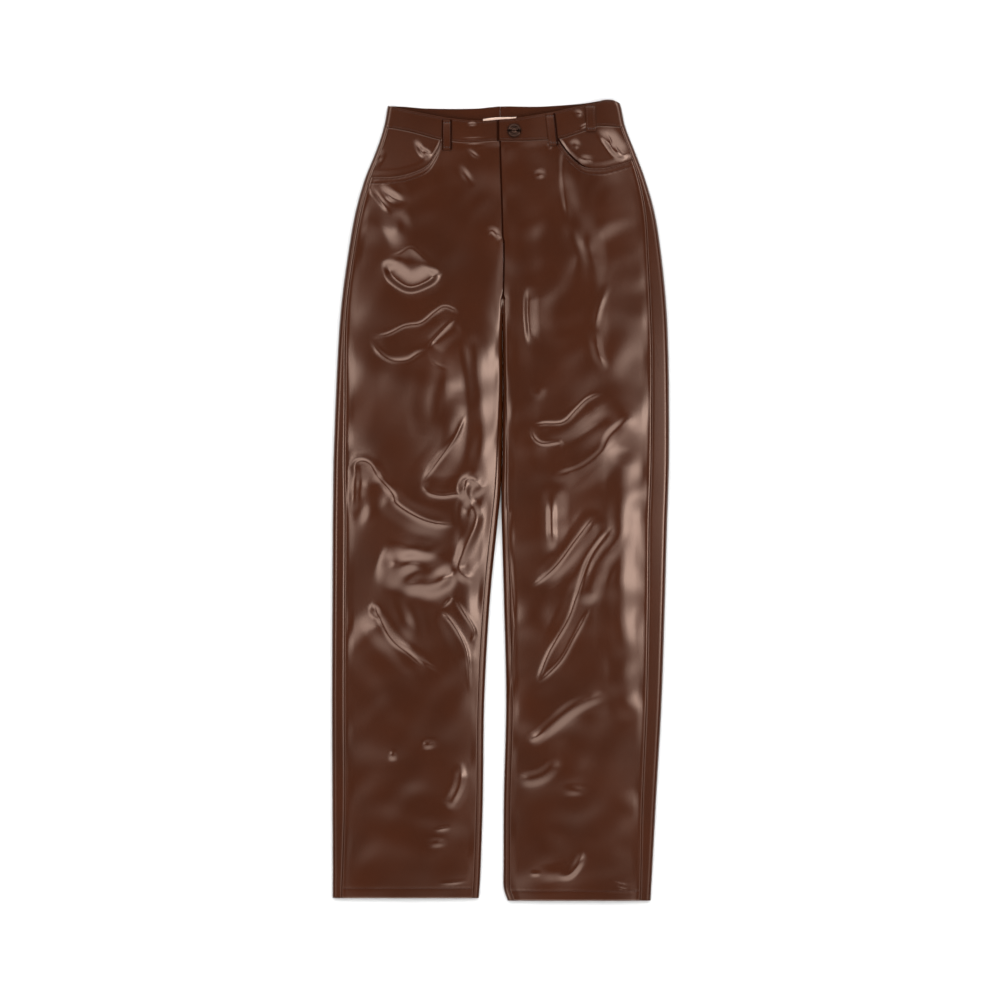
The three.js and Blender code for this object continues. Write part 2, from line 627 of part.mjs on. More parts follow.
const button = add("button", buttonGeometry(), METAL);
const [buttonX, buttonY] = BUTTON_AT;
button.position.set(buttonX, buttonY, bandHeight(LEGS.right, buttonX, buttonY) + LAY_GAP);

const tape = add(
  "waist_label",
  new THREE.BoxGeometry(TAPE.x1 - TAPE.x0, TAPE.y1 - TAPE.y0, TAPE.thick, 4, 2, 1),
  TAPE_CLOTH,
);
tape.position.set((TAPE.x0 + TAPE.x1) / 2, (TAPE.y0 + TAPE.y1) / 2, BAND + LAY_GAP + TAPE.thick / 2);

export default trousers;
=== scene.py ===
# Glossy brown faux leather trousers lying flat on their back, seen from straight above
# Sizes in the tables are millimetres in the frame of the part; meshes are made in metres

import math
from functools import partial

import bpy
import numpy as np
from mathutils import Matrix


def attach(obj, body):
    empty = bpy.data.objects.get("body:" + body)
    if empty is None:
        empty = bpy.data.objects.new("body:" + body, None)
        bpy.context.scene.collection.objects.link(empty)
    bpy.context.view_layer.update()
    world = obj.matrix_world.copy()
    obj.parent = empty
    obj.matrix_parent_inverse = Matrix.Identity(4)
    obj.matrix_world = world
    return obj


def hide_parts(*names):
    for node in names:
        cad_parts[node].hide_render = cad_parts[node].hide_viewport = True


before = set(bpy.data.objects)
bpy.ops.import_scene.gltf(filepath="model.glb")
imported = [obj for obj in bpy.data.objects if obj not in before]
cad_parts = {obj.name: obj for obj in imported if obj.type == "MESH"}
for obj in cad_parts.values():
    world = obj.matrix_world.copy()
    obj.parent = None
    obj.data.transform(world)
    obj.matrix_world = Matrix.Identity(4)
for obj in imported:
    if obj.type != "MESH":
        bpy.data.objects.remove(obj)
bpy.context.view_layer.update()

MM = 0.001
stage = bpy.context.scene

# Thickness of the cloth, the waistband and the turned-up hem, and the gaps between pieces
CLOTH = 1.2
BAND = 2.1
HEM_TURN = 1.1
HEM_DEPTH = 13.0
HEM_STEP = 2.0
STEEPEST = 0.6  # least upward part of a normal that a front's thickness is divided by
SEAM_GAP = 0.3
LAY_GAP = 0.4
LAP_CLEAR = 0.3

# Lengths along the legs
HEM = {"left": -535.0, "right": -538.5}
CROTCH = 270.0
CROTCH_TURN = 7.0
CROTCH_EASE = 30.0
LEGS_PART = 70.0
FLY_END = 346.0
FLY_LAP = 12.0
FLY_EASE = 10.0
WARP_FROM = 400.0
SEAM_LEVEL = 485.0

# Rounding of the flattened legs' edges, and widths of the slopes beside them. The inner slope has
# one width below the knee and changes above it to each leg's own
ROLL = 6.5
ROLL_IN = 5.0
OUTER_FLANK = 95.0
INNER_FLANK = {"left": 30.0, "right": 44.0}
INNER_FLANK_LOW = 60.0
INNER_FLANK_FROM = -60.0
INNER_FLANK_OVER = 150.0
SEAT_TURN_DROP = 4.0

# How far the inseam lies in from the inner edge, at the crotch and at the hem
INSEAM_INSET = 1.2
INSEAM_INSET_LOW = 8.0
KNEE = -60.0

# Sections from the waist down, one row for each height y: the outer and inner edges of the two
# legs, the height of the top, of its shoulder beside the outer edge and of its inner shoulders,
# and how far in from the outer edge each side seam lies
SECTION_COLUMNS = (
    "y", "left_out", "left_in", "right_in", "right_out",
    "top", "shoulder", "left_inner", "right_inner", "left_inset", "right_inset",
)
SECTIONS = [
    (540, -149, -0.8, -0.3, 157.5, 12, 9, 11.5, 11.5, 7, 7),
    (531, -151.5, -0.8, -0.3, 161.5, 12, 9, 11.5, 11.5, 7, 7),
    (502, -157, -0.6, -0.1, 168, 12.5, 9.5, 12, 12, 7, 7),
    (471, -167, 0, 0.5, 180, 14, 10, 13.3, 13.3, 7, 7),
    (431, -183, 1.2, 1.7, 195, 16, 10.5, 15, 15, 7, 9),
    (384, -196, 2.6, 3.1, 208, 17.5, 11, 16, 16, 7, 13),
    (329, -205.5, 3.6, 4.1, 216.5, 18, 11, 15.6, 15.6, 7, 18),
    (270, -213.5, 2.6, 3.1, 222.5, 18, 11, 16, 15, 7, 21),
    (216, -218, 2.7, 3.2, 225.5, 18, 11, 12.5, 15, 8.5, 22),
    (135, -222, 3, 3.5, 227, 17.5, 10.5, 11, 14.5, 12, 23),
    (54, -225, 1.9, 2.4, 227, 17, 10.5, 10.5, 14, 14, 24),
    (14, -225.5, 0.4, 1, 226, 16.5, 10.5, 10, 13, 15, 24),
    (-27, -226, -3.5, 1.3, 224.5, 16, 10, 9.5, 12, 16, 24),
    (-134, -226.5, -14, 4.3, 221.5, 15, 10, 9, 10, 16, 22),
    (-269, -227, -21.5, 7.3, 217, 14, 9.5, 9, 9, 16, 20),
    (-403, -226.5, -23.5, 4.2, 209.5, 13, 9.2, 8.8, 8.8, 16, 18),
    (-495, -226, -26.5, 3.8, 204.5, 12.4, 8.8, 8.6, 8.6, 13, 15),
    (-522, -226, -28, 4.2, 203, 11.8, 8.5, 8.4, 8.4, 12, 14),
    (-540, -226, -29.5, 10, 202, 11.5, 8.3, 8.3, 8.3, 12, 14),
]

# Edges of the waistband and of the pocket openings, as x and y
FRONT_TOP = [
    (-152, 530.5), (-137, 527.2), (-108, 521), (-65, 513.2), (-24, 510), (-5, 511.5),
    (21, 513.5), (71, 522), (100, 528.6), (125, 533.8), (138, 538), (151, 538), (161.5, 533.5),
]
FRONT_SEAM = [
    (-157, 502.3), (-142, 500.3), (-119, 495.6), (-95, 489), (-79, 484.8), (-45, 481),
    (-5, 483.3), (26, 483.5), (53, 484.8), (80, 487), (100, 492.8), (120, 499.6), (132, 503.5),
    (168, 502.3),
]
BACK_TOP = [
    (-152, 530.5), (-128, 529.2), (-100, 527), (-34, 526.8), (0, 529.8), (46, 529.4),
    (73, 530.6), (114, 534), (138, 538), (151, 538), (161.5, 533.5),
]
BACK_SEAM = [(-157, 502.3), (0, 500.3), (168, 502.3)]
POCKET = {
    "left": [(-176, 434), (-142, 435), (-118, 440.5), (-97.5, 451), (-85.5, 468.5), (-80, 481.5)],
    "right": [
        (76, 485.5), (83, 475.5), (93.5, 462), (111, 448.5), (134, 446), (154, 450), (190, 461),
    ],
}

# The folds of each leg: the ends and the middle control point of the crest, its rise or drop,
# and its half-widths to the left and right of the way it runs
FOLDS = {}
FOLDS["left"] = [
    (-182, 430, -155, 410, -128, 392, 0.9, 14, 16),
    (-150, 327, -116, 256, -85, 312, 1.2, 20, 22),
    (-175, 207, -118, 212, -60, 252, 1.1, 24, 24),
    (-92, 205, -78, 222, -52, 236, -0.9, 16, 19),
    (-38, 240, -22, 165, -34, 52, 0.6, 34, 24),
    (-46, 152, -48, 84, -111, 18, 1.6, 30, 28),
    (-111, 18, -70, 6, -20, 28, 1.1, 19, 19),
    (-204, 46, -180, 54, -162, 22, 1.3, 19, 22),
    (-162, 22, -133, -28, -52, -34, 1.4, 20, 26),
    (-165, -76, -110, -92, -55, -112, 4.8, 28, 40),
    (-174, -150, -152, -198, -95, -230, 1.2, 20, 24),
    (-80, -146, -58, -180, -42, -229, 1.0, 18, 18),
    (-44, 14, -42, -90, -44, -190, 1.6, 16, 24),
    (-53, -358, -52, -396, -73, -415, 0.9, 16, 19),
]
FOLDS["right"] = [
    (9, 312, 9, 160, 9, 14, 0.25, 9, 8),
    (24, 314, 27, 170, 24, 36, -0.5, 24, 14),
    (52, 290, 50, 245, 53, 200, 0.5, 27, 19),
    (86, 444, 94, 385, 130, 314, 0.8, 26, 20),
    (135, 292, 120, 235, 132, 168, 0.5, 20, 18),
    (50, 90, 96, 90, 144, 140, 1.3, 22, 22),
    (172, 119, 110, 80, 44, 38, -1.5, 28, 26),
    (182, 130, 133, 74, 64, 18, 1.4, 22, 28),
    (71, 26, 67, -28, 72, -76, 1.2, 24, 18),
    (131, -12, 100, -62, 43, -119, 1.4, 20, 18),
    (152, -22, 122, -76, 62, -128, -1.2, 21, 18),
    (162, -28, 106, -115, 49, -250, 1.6, 24, 20),
    (137, -249, 98, -276, 39, -326, 0.6, 20, 20),
    (76, -346, 62, -376, 24, -377, 0.5, 18, 18),
    (110, -472, 104, -504, 46, -502, 0.7, 14, 14),
    (160, 20, 157, -100, 160, -220, 1.8, 24, 32),
]
FOLD_STEPS = 14
FOLD_TAPER = 0.22
CREST = 0.07

# Finer creases of each surface: the rise, the half-widths to the left and right of the way it
# runs, how sharp the crest is, and the points that it passes
CREASES = {}
CREASES["left"] = [
    (2.0, 10, 8, 0.7, [(-178, 427), (-163, 405), (-145, 383)]),
    (2.1, 11, 9, 0.5, [(-161, 426), (-148, 408), (-126, 400)]),
    (2.4, 22, 24, 0, [(-148, 394), (-136, 366), (-124, 336)]),
    (3.8, 24, 10, 0.2, [
        (-154, 325), (-150, 312), (-142, 298), (-122, 287), (-100, 294), (-90, 302), (-84, 312),
    ]),
    (0.8, 6, 14, 0.6, [(-154, 325), (-136, 331), (-121, 339), (-106, 328), (-85, 311)]),
    (0.9, 5, 8, 1, [
        (-176, 219), (-152, 223), (-129, 234), (-107, 238), (-89, 252), (-76, 260), (-63, 256),
        (-56, 249),
    ]),
    (1.0, 7, 5, 1, [(-56, 249), (-74, 232), (-91, 214), (-98, 203)]),
    (0.9, 7, 7, 0.7, [(-176, 219), (-163, 199), (-146, 188), (-126, 188), (-111, 197), (-98, 203)]),
    (0.5, 5, 5, 0.8, [(-98, 203), (-89, 184), (-67, 175)]),
    (1.2, 17, 20, 0, [(-40, 226), (-32, 165), (-26, 108), (-29, 36)]),
    (4.8, 35, 90, 0, [(-84, 232), (-76, 130), (-88, 34)]),
    (1.2, 6, 10, 1, [(-47, 116), (-60, 85), (-82, 55), (-107, 22)]),
    (1.0, 6, 6, 0.9, [(-107, 22), (-96, 10), (-78, 6), (-60, 8), (-46, 6)]),
    (1.1, 6, 6, 0.8, [(-58, 10), (-52, 24), (-40, 28), (-30, 22), (-21, 12)]),
    (1.2, 6, 11, 1, [
        (-205, 37), (-192, 52), (-177, 50), (-163, 30), (-144, 8), (-139, -5), (-113, -22), (-87, -31),
        (-54, -33),
    ]),
    (1.7, 10, 12, 0.1, [(-199, 56), (-196, 25), (-201, -20)]),
    (1.7, 11, 12, 0.3, [(-38, 44), (-48, 14), (-32, -26), (-49, -68), (-56, -92), (-36, -112)]),
    (1.0, 5, 5, 0.9, [(-80, -147), (-70, -136), (-63, -130)]),
    (1.2, 6, 6, 1, [(-63, -130), (-50, -150), (-35, -176), (-41, -193)]),
    (1.2, 6, 6, 1, [(-80, -148), (-65, -165), (-50, -191), (-44, -214), (-41, -262)]),
    (1.1, 10, 6, 0.8, [(-173, -135), (-165, -154), (-147, -187), (-124, -206), (-98, -228)]),
    (1.3, 9, 9, 0, [(-171, -138), (-169, -148), (-165, -160)]),
    (0.6, 5, 6, 0.9, [(-113, -210), (-95, -222), (-76, -232)]),
    (1.1, 9, 9, 0, [(-107, -327), (-98, -328), (-82, -325)]),
    (1.0, 9, 9, 0, [(-152, -342), (-145, -343), (-137, -342)]),
    (1.2, 8, 12, 0.2, [(-54, -350), (-54, -381), (-72, -418)]),
    (0.8, 4, 7, 0.7, [(-91, -444), (-78, -441), (-65, -439)]),
    (0.9, 9, 9, 0, [(-102, -461), (-86, -460), (-69, -458)]),
    (0.5, 4, 4, 0.6, [(-87, -515), (-64, -514), (-42, -511)]),
    (1.0, 5, 8, 0.8, [(-46, 474), (-36, 465), (-26, 458)]),
    (1.3, 8, 10, 0.3, [(-57, 453), (-47, 437), (-35, 420)]),
    (1.6, 10, 6, 0.5, [(-20, 354), (-12, 362), (-4, 355), (2, 346)]),
    (0.4, 2.5, 2.5, 0.4, [(-52, 477), (-36, 477.6), (-18, 478)]),
]
CREASES["right"] = [
    (0.5, 4, 4, 0.8, [(6, 150), (5.5, 90), (6, 20)]),
    (2.0, 15, 7, 0.3, [(38, 290), (37, 250), (41, 206)]),
    (1.0, 11, 11, 0, [(50, 446), (52, 438), (53, 430)]),
    (1.3, 20, 7, 0.3, [(85, 476), (84, 430), (92, 374)]),
    (2.3, 24, 20, 0, [(104, 388), (116, 352), (122, 324), (114, 290)]),
    (1.4, 9, 13, 0.2, [(126, 232), (131, 202), (140, 172)]),
    (0.7, 8, 8, 0.3, [(146, 295), (132, 258), (126, 228)]),
    (0.7, 14, 14, 0, [(38, 140), (51, 145), (64, 142)]),
    (1.1, 5, 8, 1, [(42, 101), (58, 103), (84, 105), (102, 122), (117, 136), (139, 146)]),
    (1.1, 6, 6, 0.9, [(42, 101), (43, 88), (50, 79), (60, 76), (80, 78), (77, 68)]),
    (1.5, 32, 9, 0.2, [(180, 116), (148, 88), (136, 64), (106, 42), (66, 30)]),
    (1.4, 8, 9, 0.1, [(69, 4), (69, -30), (70, -68)]),
    (1.1, 8, 6, 1, [(41, -118), (73, -91), (99, -57), (127, -20)]),
    (1.0, 8, 6, 1, [(49, -247), (65, -206), (91, -161), (104, -124), (121, -76), (151, -35)]),
    (1.0, 6, 8, 1, [(49, -247), (80, -217), (99, -184), (121, -143)]),
    (1.7, 18, 24, 0, [(154, -44), (132, -100), (114, -144)]),
    (1.1, 12, 14, 0, [(36, -326), (62, -307), (99, -277), (148, -258)]),
    (0.7, 6, 6, 0.3, [(38, -325), (50, -317), (62, -308)]),
    (0.9, 12, 14, 0, [(18, -375), (54, -370), (84, -344)]),
    (0.8, 10, 10, 0, [(80, -390), (100, -390), (121, -391)]),
    (1.1, 8, 9, 0.2, [(113, -466), (105, -488), (92, -504), (74, -505)]),
    (0.7, 5, 5, 0.3, [(38, -502), (47, -502), (56, -502)]),
    (0.4, 3, 3, 1, [(145, -511), (160, -516), (175, -519)]),
    (0.4, 3, 3, 1, [(150, -518), (162, -522), (174, -525)]),
    (1.5, 26, 26, 0, [(166, 70), (167, -60), (168, -150), (170, -300)]),
    (0.8, 6, 5, 0.5, [(11, -6), (11, -60), (18, -172), (12, -280)]),
    (0.6, 5, 5, 0, [(62, 474), (66, 475), (70, 474)]),
]
CREASES["facing_left"] = [
    (2.4, 7, 8, 0.6, [(-115, 486), (-107, 470), (-99, 456)]),
    (1.8, 6, 6, 0.6, [(-106, 474), (-99, 467), (-92, 463)]),
    (1.9, 10, 12, 0.1, [(-158, 474), (-165, 461), (-172, 448)]),
]
CREASES["facing_right"] = [
    (3.2, 20, 9, 0.3, [(130, 500), (143, 484), (156, 467), (172, 457)]),
    (0.8, 4, 4, 0.8, [(140, 497), (147, 484), (150, 470)]),
    (0.8, 4, 4, 0.8, [(152, 480), (158, 469), (168, 463)]),
    (1.1, 9, 9, 0.1, [(94, 485), (100, 478), (106, 471)]),
    (0.9, 8, 8, 0.2, [(104, 456), (114, 458), (126, 456)]),
]
CREASES["band_right"] = [
    (1.0, 7, 8, 0.5, [(97, 524), (105, 520), (112, 521)]),
    (0.8, 4, 6, 0.7, [(104, 499), (114, 504), (128, 508)]),
]
CREASES["band_left"] = [
    (0.9, 4, 5, 0.6, [(-46, 504), (-38, 506), (-30, 505)]),
    (0.35, 2.5, 2.5, 0.4, [(-58, 485.5), (-38, 486), (-16, 487)]),
]
CREASE_STEPS = 6
CREASE_FADE = 24.0
SOFT_FADE = 16.0  # length of a soft crease's fading end for each millimetre of rise

# Rumpled patches of the fronts: the middle, the reach along x and y, the steepness, the length of
# the ripples and the way they run in degrees
PATCHES = [
    (-106, -98, 66, 54, 0.13, 34, 12),
    (-124, -168, 40, 60, 0.08, 40, 110),
    (-40, -30, 24, 100, 0.1, 34, 60),
    (-38, 17, 30, 20, 0.13, 20, 60),
    (-120, 314, 56, 46, 0.05, 36, 30),
    (-146, 396, 40, 40, 0.07, 30, 120),
    (-86, 140, 50, 80, 0.045, 44, 80),
    (-130, -220, 90, 130, 0.05, 66, 150),
    (-100, -400, 90, 110, 0.04, 60, 20),
    (-180, 10, 40, 60, 0.07, 34, 60),
    (110, 50, 90, 60, 0.045, 50, 40),
    (130, -80, 60, 120, 0.05, 50, 60),
    (110, 360, 70, 110, 0.05, 56, 60),
    (150, 230, 50, 120, 0.012, 52, 80),
    (110, -330, 90, 130, 0.04, 64, 30),
    (-90, 420, 80, 70, 0.035, 44, 60),
]
PATCH_WAVES = 7
PATCH_SEED = 20
PATCH_LENGTHS = (0.7, 1.5)
PATCH_TURN = 38

# The slight waviness of laid cloth: how many waves, their lengths and their steepness
WAVES = 14
WAVE_LENGTH = (38, 120)
WAVE_SLOPE = 0.002
WAVE_SEED = {"left": 0, "right": 1, "band": 5}
BAND_WAVES = 0.3

# Fine division of the cloth, and how often a grid is fitted again to its curved edges
NEAR_EDGE = np.array([0.0, 0.3, 0.7, 1.2, 1.9, 2.8, 4.0])
FRONT_ACROSS = 118
FRONT_ROWS = 640
BACK_ROWS = 300
SEAT_ROWS = 80
BACK_INNER = 16
BAND_ROWS = 20
FACING_GRID = (90, 70)
LOOP_GRID = (45, 19)
TAPE_GRID = (60, 30)
FRONT_FITS = 8
FITS = 6

# The lap of the waistband and of the fly, and how far the upper layer is lifted over the lower
LAP_END = 30.0
BAND_END = -4.5
LAP_LIFT = BAND + LAY_GAP + LAP_CLEAR
FLY_LIFT = CLOTH + LAY_GAP + LAP_CLEAR
LIFT_HOLD = 3.0
LIFT_FADE = 48.0
BAND_PROUD = 0.5
BAND_TALL = 30.0
BAND_REACH = 14.0
FLY_EDGE = -1.6  # the right front's fly edge, in x from the centre line

# The ridge beside the side seam, and the slope that lifts the back's strip outside that seam
SEAM_BEAD = 0.4
SEAM_BEAD_AT = 2.4
SEAM_BEAD_WIDTH = 1.5
SIDE_LEVEL = 0.085

# How far cloth turns down at an edge or a seam, and over what width
DIPS = {
    "edge": (0.45, 1.6), "end": (0.14, 1.6), "band": (0.1, 1.6), "lap": (0.12, 1.2),
    "loop": (0.06, 1.0),
}

# Over what distance from a front's side seam, inner edge and end its ripples grow, and the band's
CALM_SIDE, CALM_INNER, CALM_END = 14, 10, 12
BAND_CALM = 30

# Widths of the painted shade, dark strips that stand in for shadow: along the fly edge, where the lap
# shades the left front, and under the right pocket's edge, in its open mouth
PAINTED_SHADE_WIDTH = 1.7
POCKET_SHADE = 4.0
POCKET_SHADE_SPAN = (72, 124, 6, 24)

# The right pocket stands open a little: the stretch in x, how softly it starts and ends, the
# front's rise and the facing's drop, and how far they reach
FRONT_GAPE = (74, 118, 8, 16)
FRONT_GAPE_RISE, FRONT_GAPE_WIDE = 0.6, 26
FACING_GAPE = (76, 122, 8, 16)
FACING_GAPE_DROP, FACING_GAPE_WIDE = 0.7, 16
POCKET_FADE = 6

# Pocket facings: how deep they lie, over what distance they rise into the opening, and how far
# from the mouth they start and under the front they run
FACING_DEPTH = 2.1
FACING_OPEN = 12
FACING_START = 10
FACING_UNDER = 15

# Belt loops: the node, the upper and lower end of the middle line, and the widths of the painted
# shade, dark strips standing in for the shadow along their left and right edges
LOOP_WIDTH = 13.0
LOOPS = [
    ("belt_loop_front_left", -72, 511, -72, 471, 1.4, 2.0),
    ("belt_loop_front_right", 67, 520, 71.5, 477, 0, 2.8),
    ("belt_loop_side_right", 120.5, 533, 121.5, 496, 0, 0),
]
LOOP_CLOTH = 1.4
LOOP_BOW = 0.6

# The button's middle, and half its section from the underside to the top as radius and height
BUTTON_AT = (18.4, 496.5)
BUTTON_PROFILE = [
    (0, 0), (3, 0), (3, 1.2), (7.6, 1.4), (9, 2.4), (9, 3.4), (8.3, 4.4), (7.2, 4.8), (6.1, 4.3),
    (5.4, 3.2), (3.6, 3), (2.4, 3.6), (0, 4),
]
BUTTON_TURNS = 72

# The waist tape: its left, right and lower edge, its upper edge as x and y, and its thickness
TAPE = (-23.5, 21.0, 494.0)
TAPE_TOP = [(-23.5, 512.7), (-14, 514.2), (-6, 515.1), (21, 515.6)]
TAPE_THICK = 1.0

# Sewing: the stitches, the rows' distances from their edges, and the pull of a row on the cloth
STITCH = 2.7
STITCH_STEP = 3.4
THREAD = 0.26
STITCH_PROUD = 0.12
POCKET_ROWS = (2.2, 8.0)
BAND_ROW = 2.4
LOOP_ROW = 2.2
LOOP_TACK = 3.2
ROW_CLEAR = 2
GROOVE = 0.12
PUCKER = 0.07
PUCKER_LENGTH = 7.3
GROOVE_WIDTH = 1.3
BAND_GROOVE = 0.6


def grids(x, y):
    """Two arrays of one shape."""
    return np.broadcast_arrays(np.asarray(x, float), np.asarray(y, float))


def clamp(t):
    return np.clip(t, 0.0, 1.0)


def even(count):
    return np.linspace(0, 1, count)


def smooth(t):
    t = clamp(t)
    return t * t * (3 - 2 * t)


def lerp(a, b, t):
    return a + (b - a) * t


def between(x, start, end, fade_in, fade_out):
    """One between start and end, falling smoothly to nothing at both."""
    return smooth((x - start) / fade_in) * smooth((end - x) / fade_out)


def flank(s):
    return (1 - clamp(s)) ** 2


def roll(s):
    return np.sqrt(1 - (1 - clamp(s)) ** 2)


def curve(table, to=1):
    """A smooth curve through the rows of a table, from its first column to another."""
    rows = np.array(sorted([(row[0], row[to]) for row in table]), float)
    x, v = rows[:, 0], rows[:, 1]
    left, right = np.maximum(np.arange(len(x)) - 1, 0), np.minimum(np.arange(len(x)) + 1, len(x) - 1)
    slope = (v[right] - v[left]) / (x[right] - x[left])

    def at(p):
        p = np.clip(p, x[0], x[-1])
        i = np.clip(np.searchsorted(x, p), 1, len(x) - 1)
        wide = x[i] - x[i - 1]
        t = (p - x[i - 1]) / wide
        bend0, bend1, rise = slope[i - 1] * wide, slope[i] * wide, v[i] - v[i - 1]
        return v[i - 1] + t * (
            bend0 + t * (3 * rise - 2 * bend0 - bend1 + t * (bend0 + bend1 - 2 * rise))
        )

    return at


section = {name: curve(SECTIONS, i) for i, name in enumerate(SECTION_COLUMNS) if i}
front_top, front_seam = curve(FRONT_TOP), curve(FRONT_SEAM)
back_top, back_seam = curve(BACK_TOP), curve(BACK_SEAM)


class Leg:
    """One leg with its half of the seat; inward is the way from its outer edge in."""

    def __init__(self, name, inward):
        self.name, self.inward, self.hem = name, inward, HEM[name]
        self.right = name == "right"
        self.out, self.inn = section[name + "_out"], section[name + "_in"]
        self.inner, self.inset = section[name + "_inner"], section[name + "_inset"]
        self.pocket_edge = curve(POCKET[name])
        self.first, self.last = POCKET[name][0][0], POCKET[name][-1][0]
        self.band_end = BAND_END if self.right else LAP_END

    def side_seam(self, y):
        return self.out(y) + self.inward * self.inset(y)

    def inseam_inset(self, y):
        return lerp(INSEAM_INSET_LOW, INSEAM_INSET, smooth((y - KNEE) / (CROTCH - KNEE)))

    def cloth(self, y):
        """Thickness of the cloth, more where the hem is turned up."""
        return CLOTH + HEM_TURN * (1 - smooth((y - self.hem - HEM_DEPTH + HEM_STEP) / HEM_STEP))

    def inner_edge(self, y):
        """Inner edge of the front: the fly and centre seam, then the inseam below the crotch."""
        gap = SEAM_GAP * (1 + smooth(1 - (CROTCH - y) / CROTCH_EASE))
        below = self.inn(y) - self.inward * (self.inseam_inset(y) + gap)
        turn = smooth((CROTCH + CROTCH_TURN - y) / CROTCH_TURN)
        lap = (FLY_EDGE if self.right else FLY_LAP) * smooth((y - FLY_END) / FLY_EASE)
        above = self.inn(y) + lap - self.inward * turn * (INSEAM_INSET + gap)
        return np.where(y <= CROTCH, below, above)

    def front_end(self, x):
        """Top edge of the front: the waist seam, or the pocket's edge beside it."""
        in_pocket = x > self.first if self.right else x < self.last
        return np.where(in_pocket, np.minimum(self.pocket_edge(x), front_seam(x)), front_seam(x))


LEGS = {"left": Leg("left", 1.0), "right": Leg("right", -1.0)}


def chain(points, steps):
    """Points along a smooth curve through the given ones."""
    p = np.array(points, float)
    p = np.vstack([2 * p[0] - p[1], p, 2 * p[-1] - p[-2]])
    t = np.linspace(0, 1, steps, endpoint=False)[:, None]
    runs = []
    for a, b, c, d in zip(p[:-3], p[1:-2], p[2:-1], p[3:]):
        runs.append(
            b + t / 2 * (c - a + t * (2 * a - 5 * b + 4 * c - d + t * (3 * (b - c) + d - a)))
        )
    return np.vstack([*runs, p[-2:-1]])


def bezier(points, count):
    """Points along the arc between two ends that a middle control point draws to its side."""
    t = even(count + 1)[:, None]
    a, b, c = np.array(points, float)
    return (1 - t) ** 2 * a + 2 * t * (1 - t) * b + t * t * c


def ridge(p, rise, wide0, wide1, taper, x, y, sharp=0):
    """Rise of a fold at flat arrays of points, from their distance to its crest."""
    reach = max(wide0, wide1)
    near = (
        (x > p[:, 0].min() - reach) & (x < p[:, 0].max() + reach)
        & (y > p[:, 1].min() - reach) & (y < p[:, 1].max() + reach)
    )
    z = np.zeros_like(x)
    if not near.any():
        return z
    px, py = x[near][:, None], y[near][:, None]
    a, d = p[:-1], np.diff(p, axis=0)
    t = clamp(((px - a[:, 0]) * d[:, 0] + (py - a[:, 1]) * d[:, 1]) / (d**2).sum(1))
    far = np.hypot(px - a[:, 0] - t * d[:, 0], py - a[:, 1] - t * d[:, 1])
    side = d[:, 0] * (py - a[:, 1]) - d[:, 1] * (px - a[:, 0])
    best = far.argmin(1)
    row = np.arange(len(best))
    along = (best + t[row, best]) / len(a)
    s = clamp(far[row, best] / np.where(side[row, best] > 0, wide0, wide1))
    soft = (1 - s) ** 2 * (1 + 2 * s)
    tent = (1 - (np.sqrt(s * s + CREST**2) - CREST) / (math.hypot(1, CREST) - CREST)) ** 3
    z[near] = rise * smooth(along / taper) * smooth((1 - along) / taper) * lerp(soft, tent, sharp)
    return z


def creases(surface, x, y):
    """Rise of the finer creases of a surface at a grid of points."""
    total = np.zeros(x.size)
    for rise, wide0, wide1, sharp, points in CREASES[surface]:
        path = chain(points, CREASE_STEPS)
        length = np.hypot(*np.diff(path, axis=0).T).sum()
        fade = CREASE_FADE if sharp else max(CREASE_FADE, SOFT_FADE * rise)
        taper = min(0.5, fade / length)
        total += ridge(path, rise, wide0, wide1, taper, x.ravel(), y.ravel(), sharp)
    return total.reshape(x.shape)


def rumples(leg, x, y):
    """Height of the ripples of a front's rumpled patches, the same on every run."""
    total = np.zeros(x.shape)
    for k, (mid_x, mid_y, reach_x, reach_y, steep, length, way) in enumerate(PATCHES):
        if (mid_x > 0) != leg.right:
            continue
        random = np.random.default_rng(k + PATCH_SEED)
        mask = smooth(1 - np.hypot((x - mid_x) / reach_x, (y - mid_y) / reach_y))
        for _ in range(PATCH_WAVES):
            each = length * random.uniform(*PATCH_LENGTHS)
            turn = math.radians(way + random.uniform(-PATCH_TURN, PATCH_TURN))
            phase = random.uniform(0, 2 * math.pi)
            across = y * math.cos(turn) - x * math.sin(turn)
            total += mask * steep * each / 8 * np.sin(2 * math.pi * across / each + phase)
    return total


def waviness(x, y, surface):
    """Height of the slight waviness of a surface, the same on every run."""
    random = np.random.default_rng(WAVE_SEED[surface])
    total = np.zeros(x.shape)
    for _ in range(WAVES):
        length = random.uniform(*WAVE_LENGTH)
        way, phase = random.uniform(0, math.pi), random.uniform(0, 2 * math.pi)
        total += WAVE_SLOPE * length * np.sin(
            2 * math.pi * (x * math.cos(way) + y * math.sin(way)) / length + phase
        )
    return total


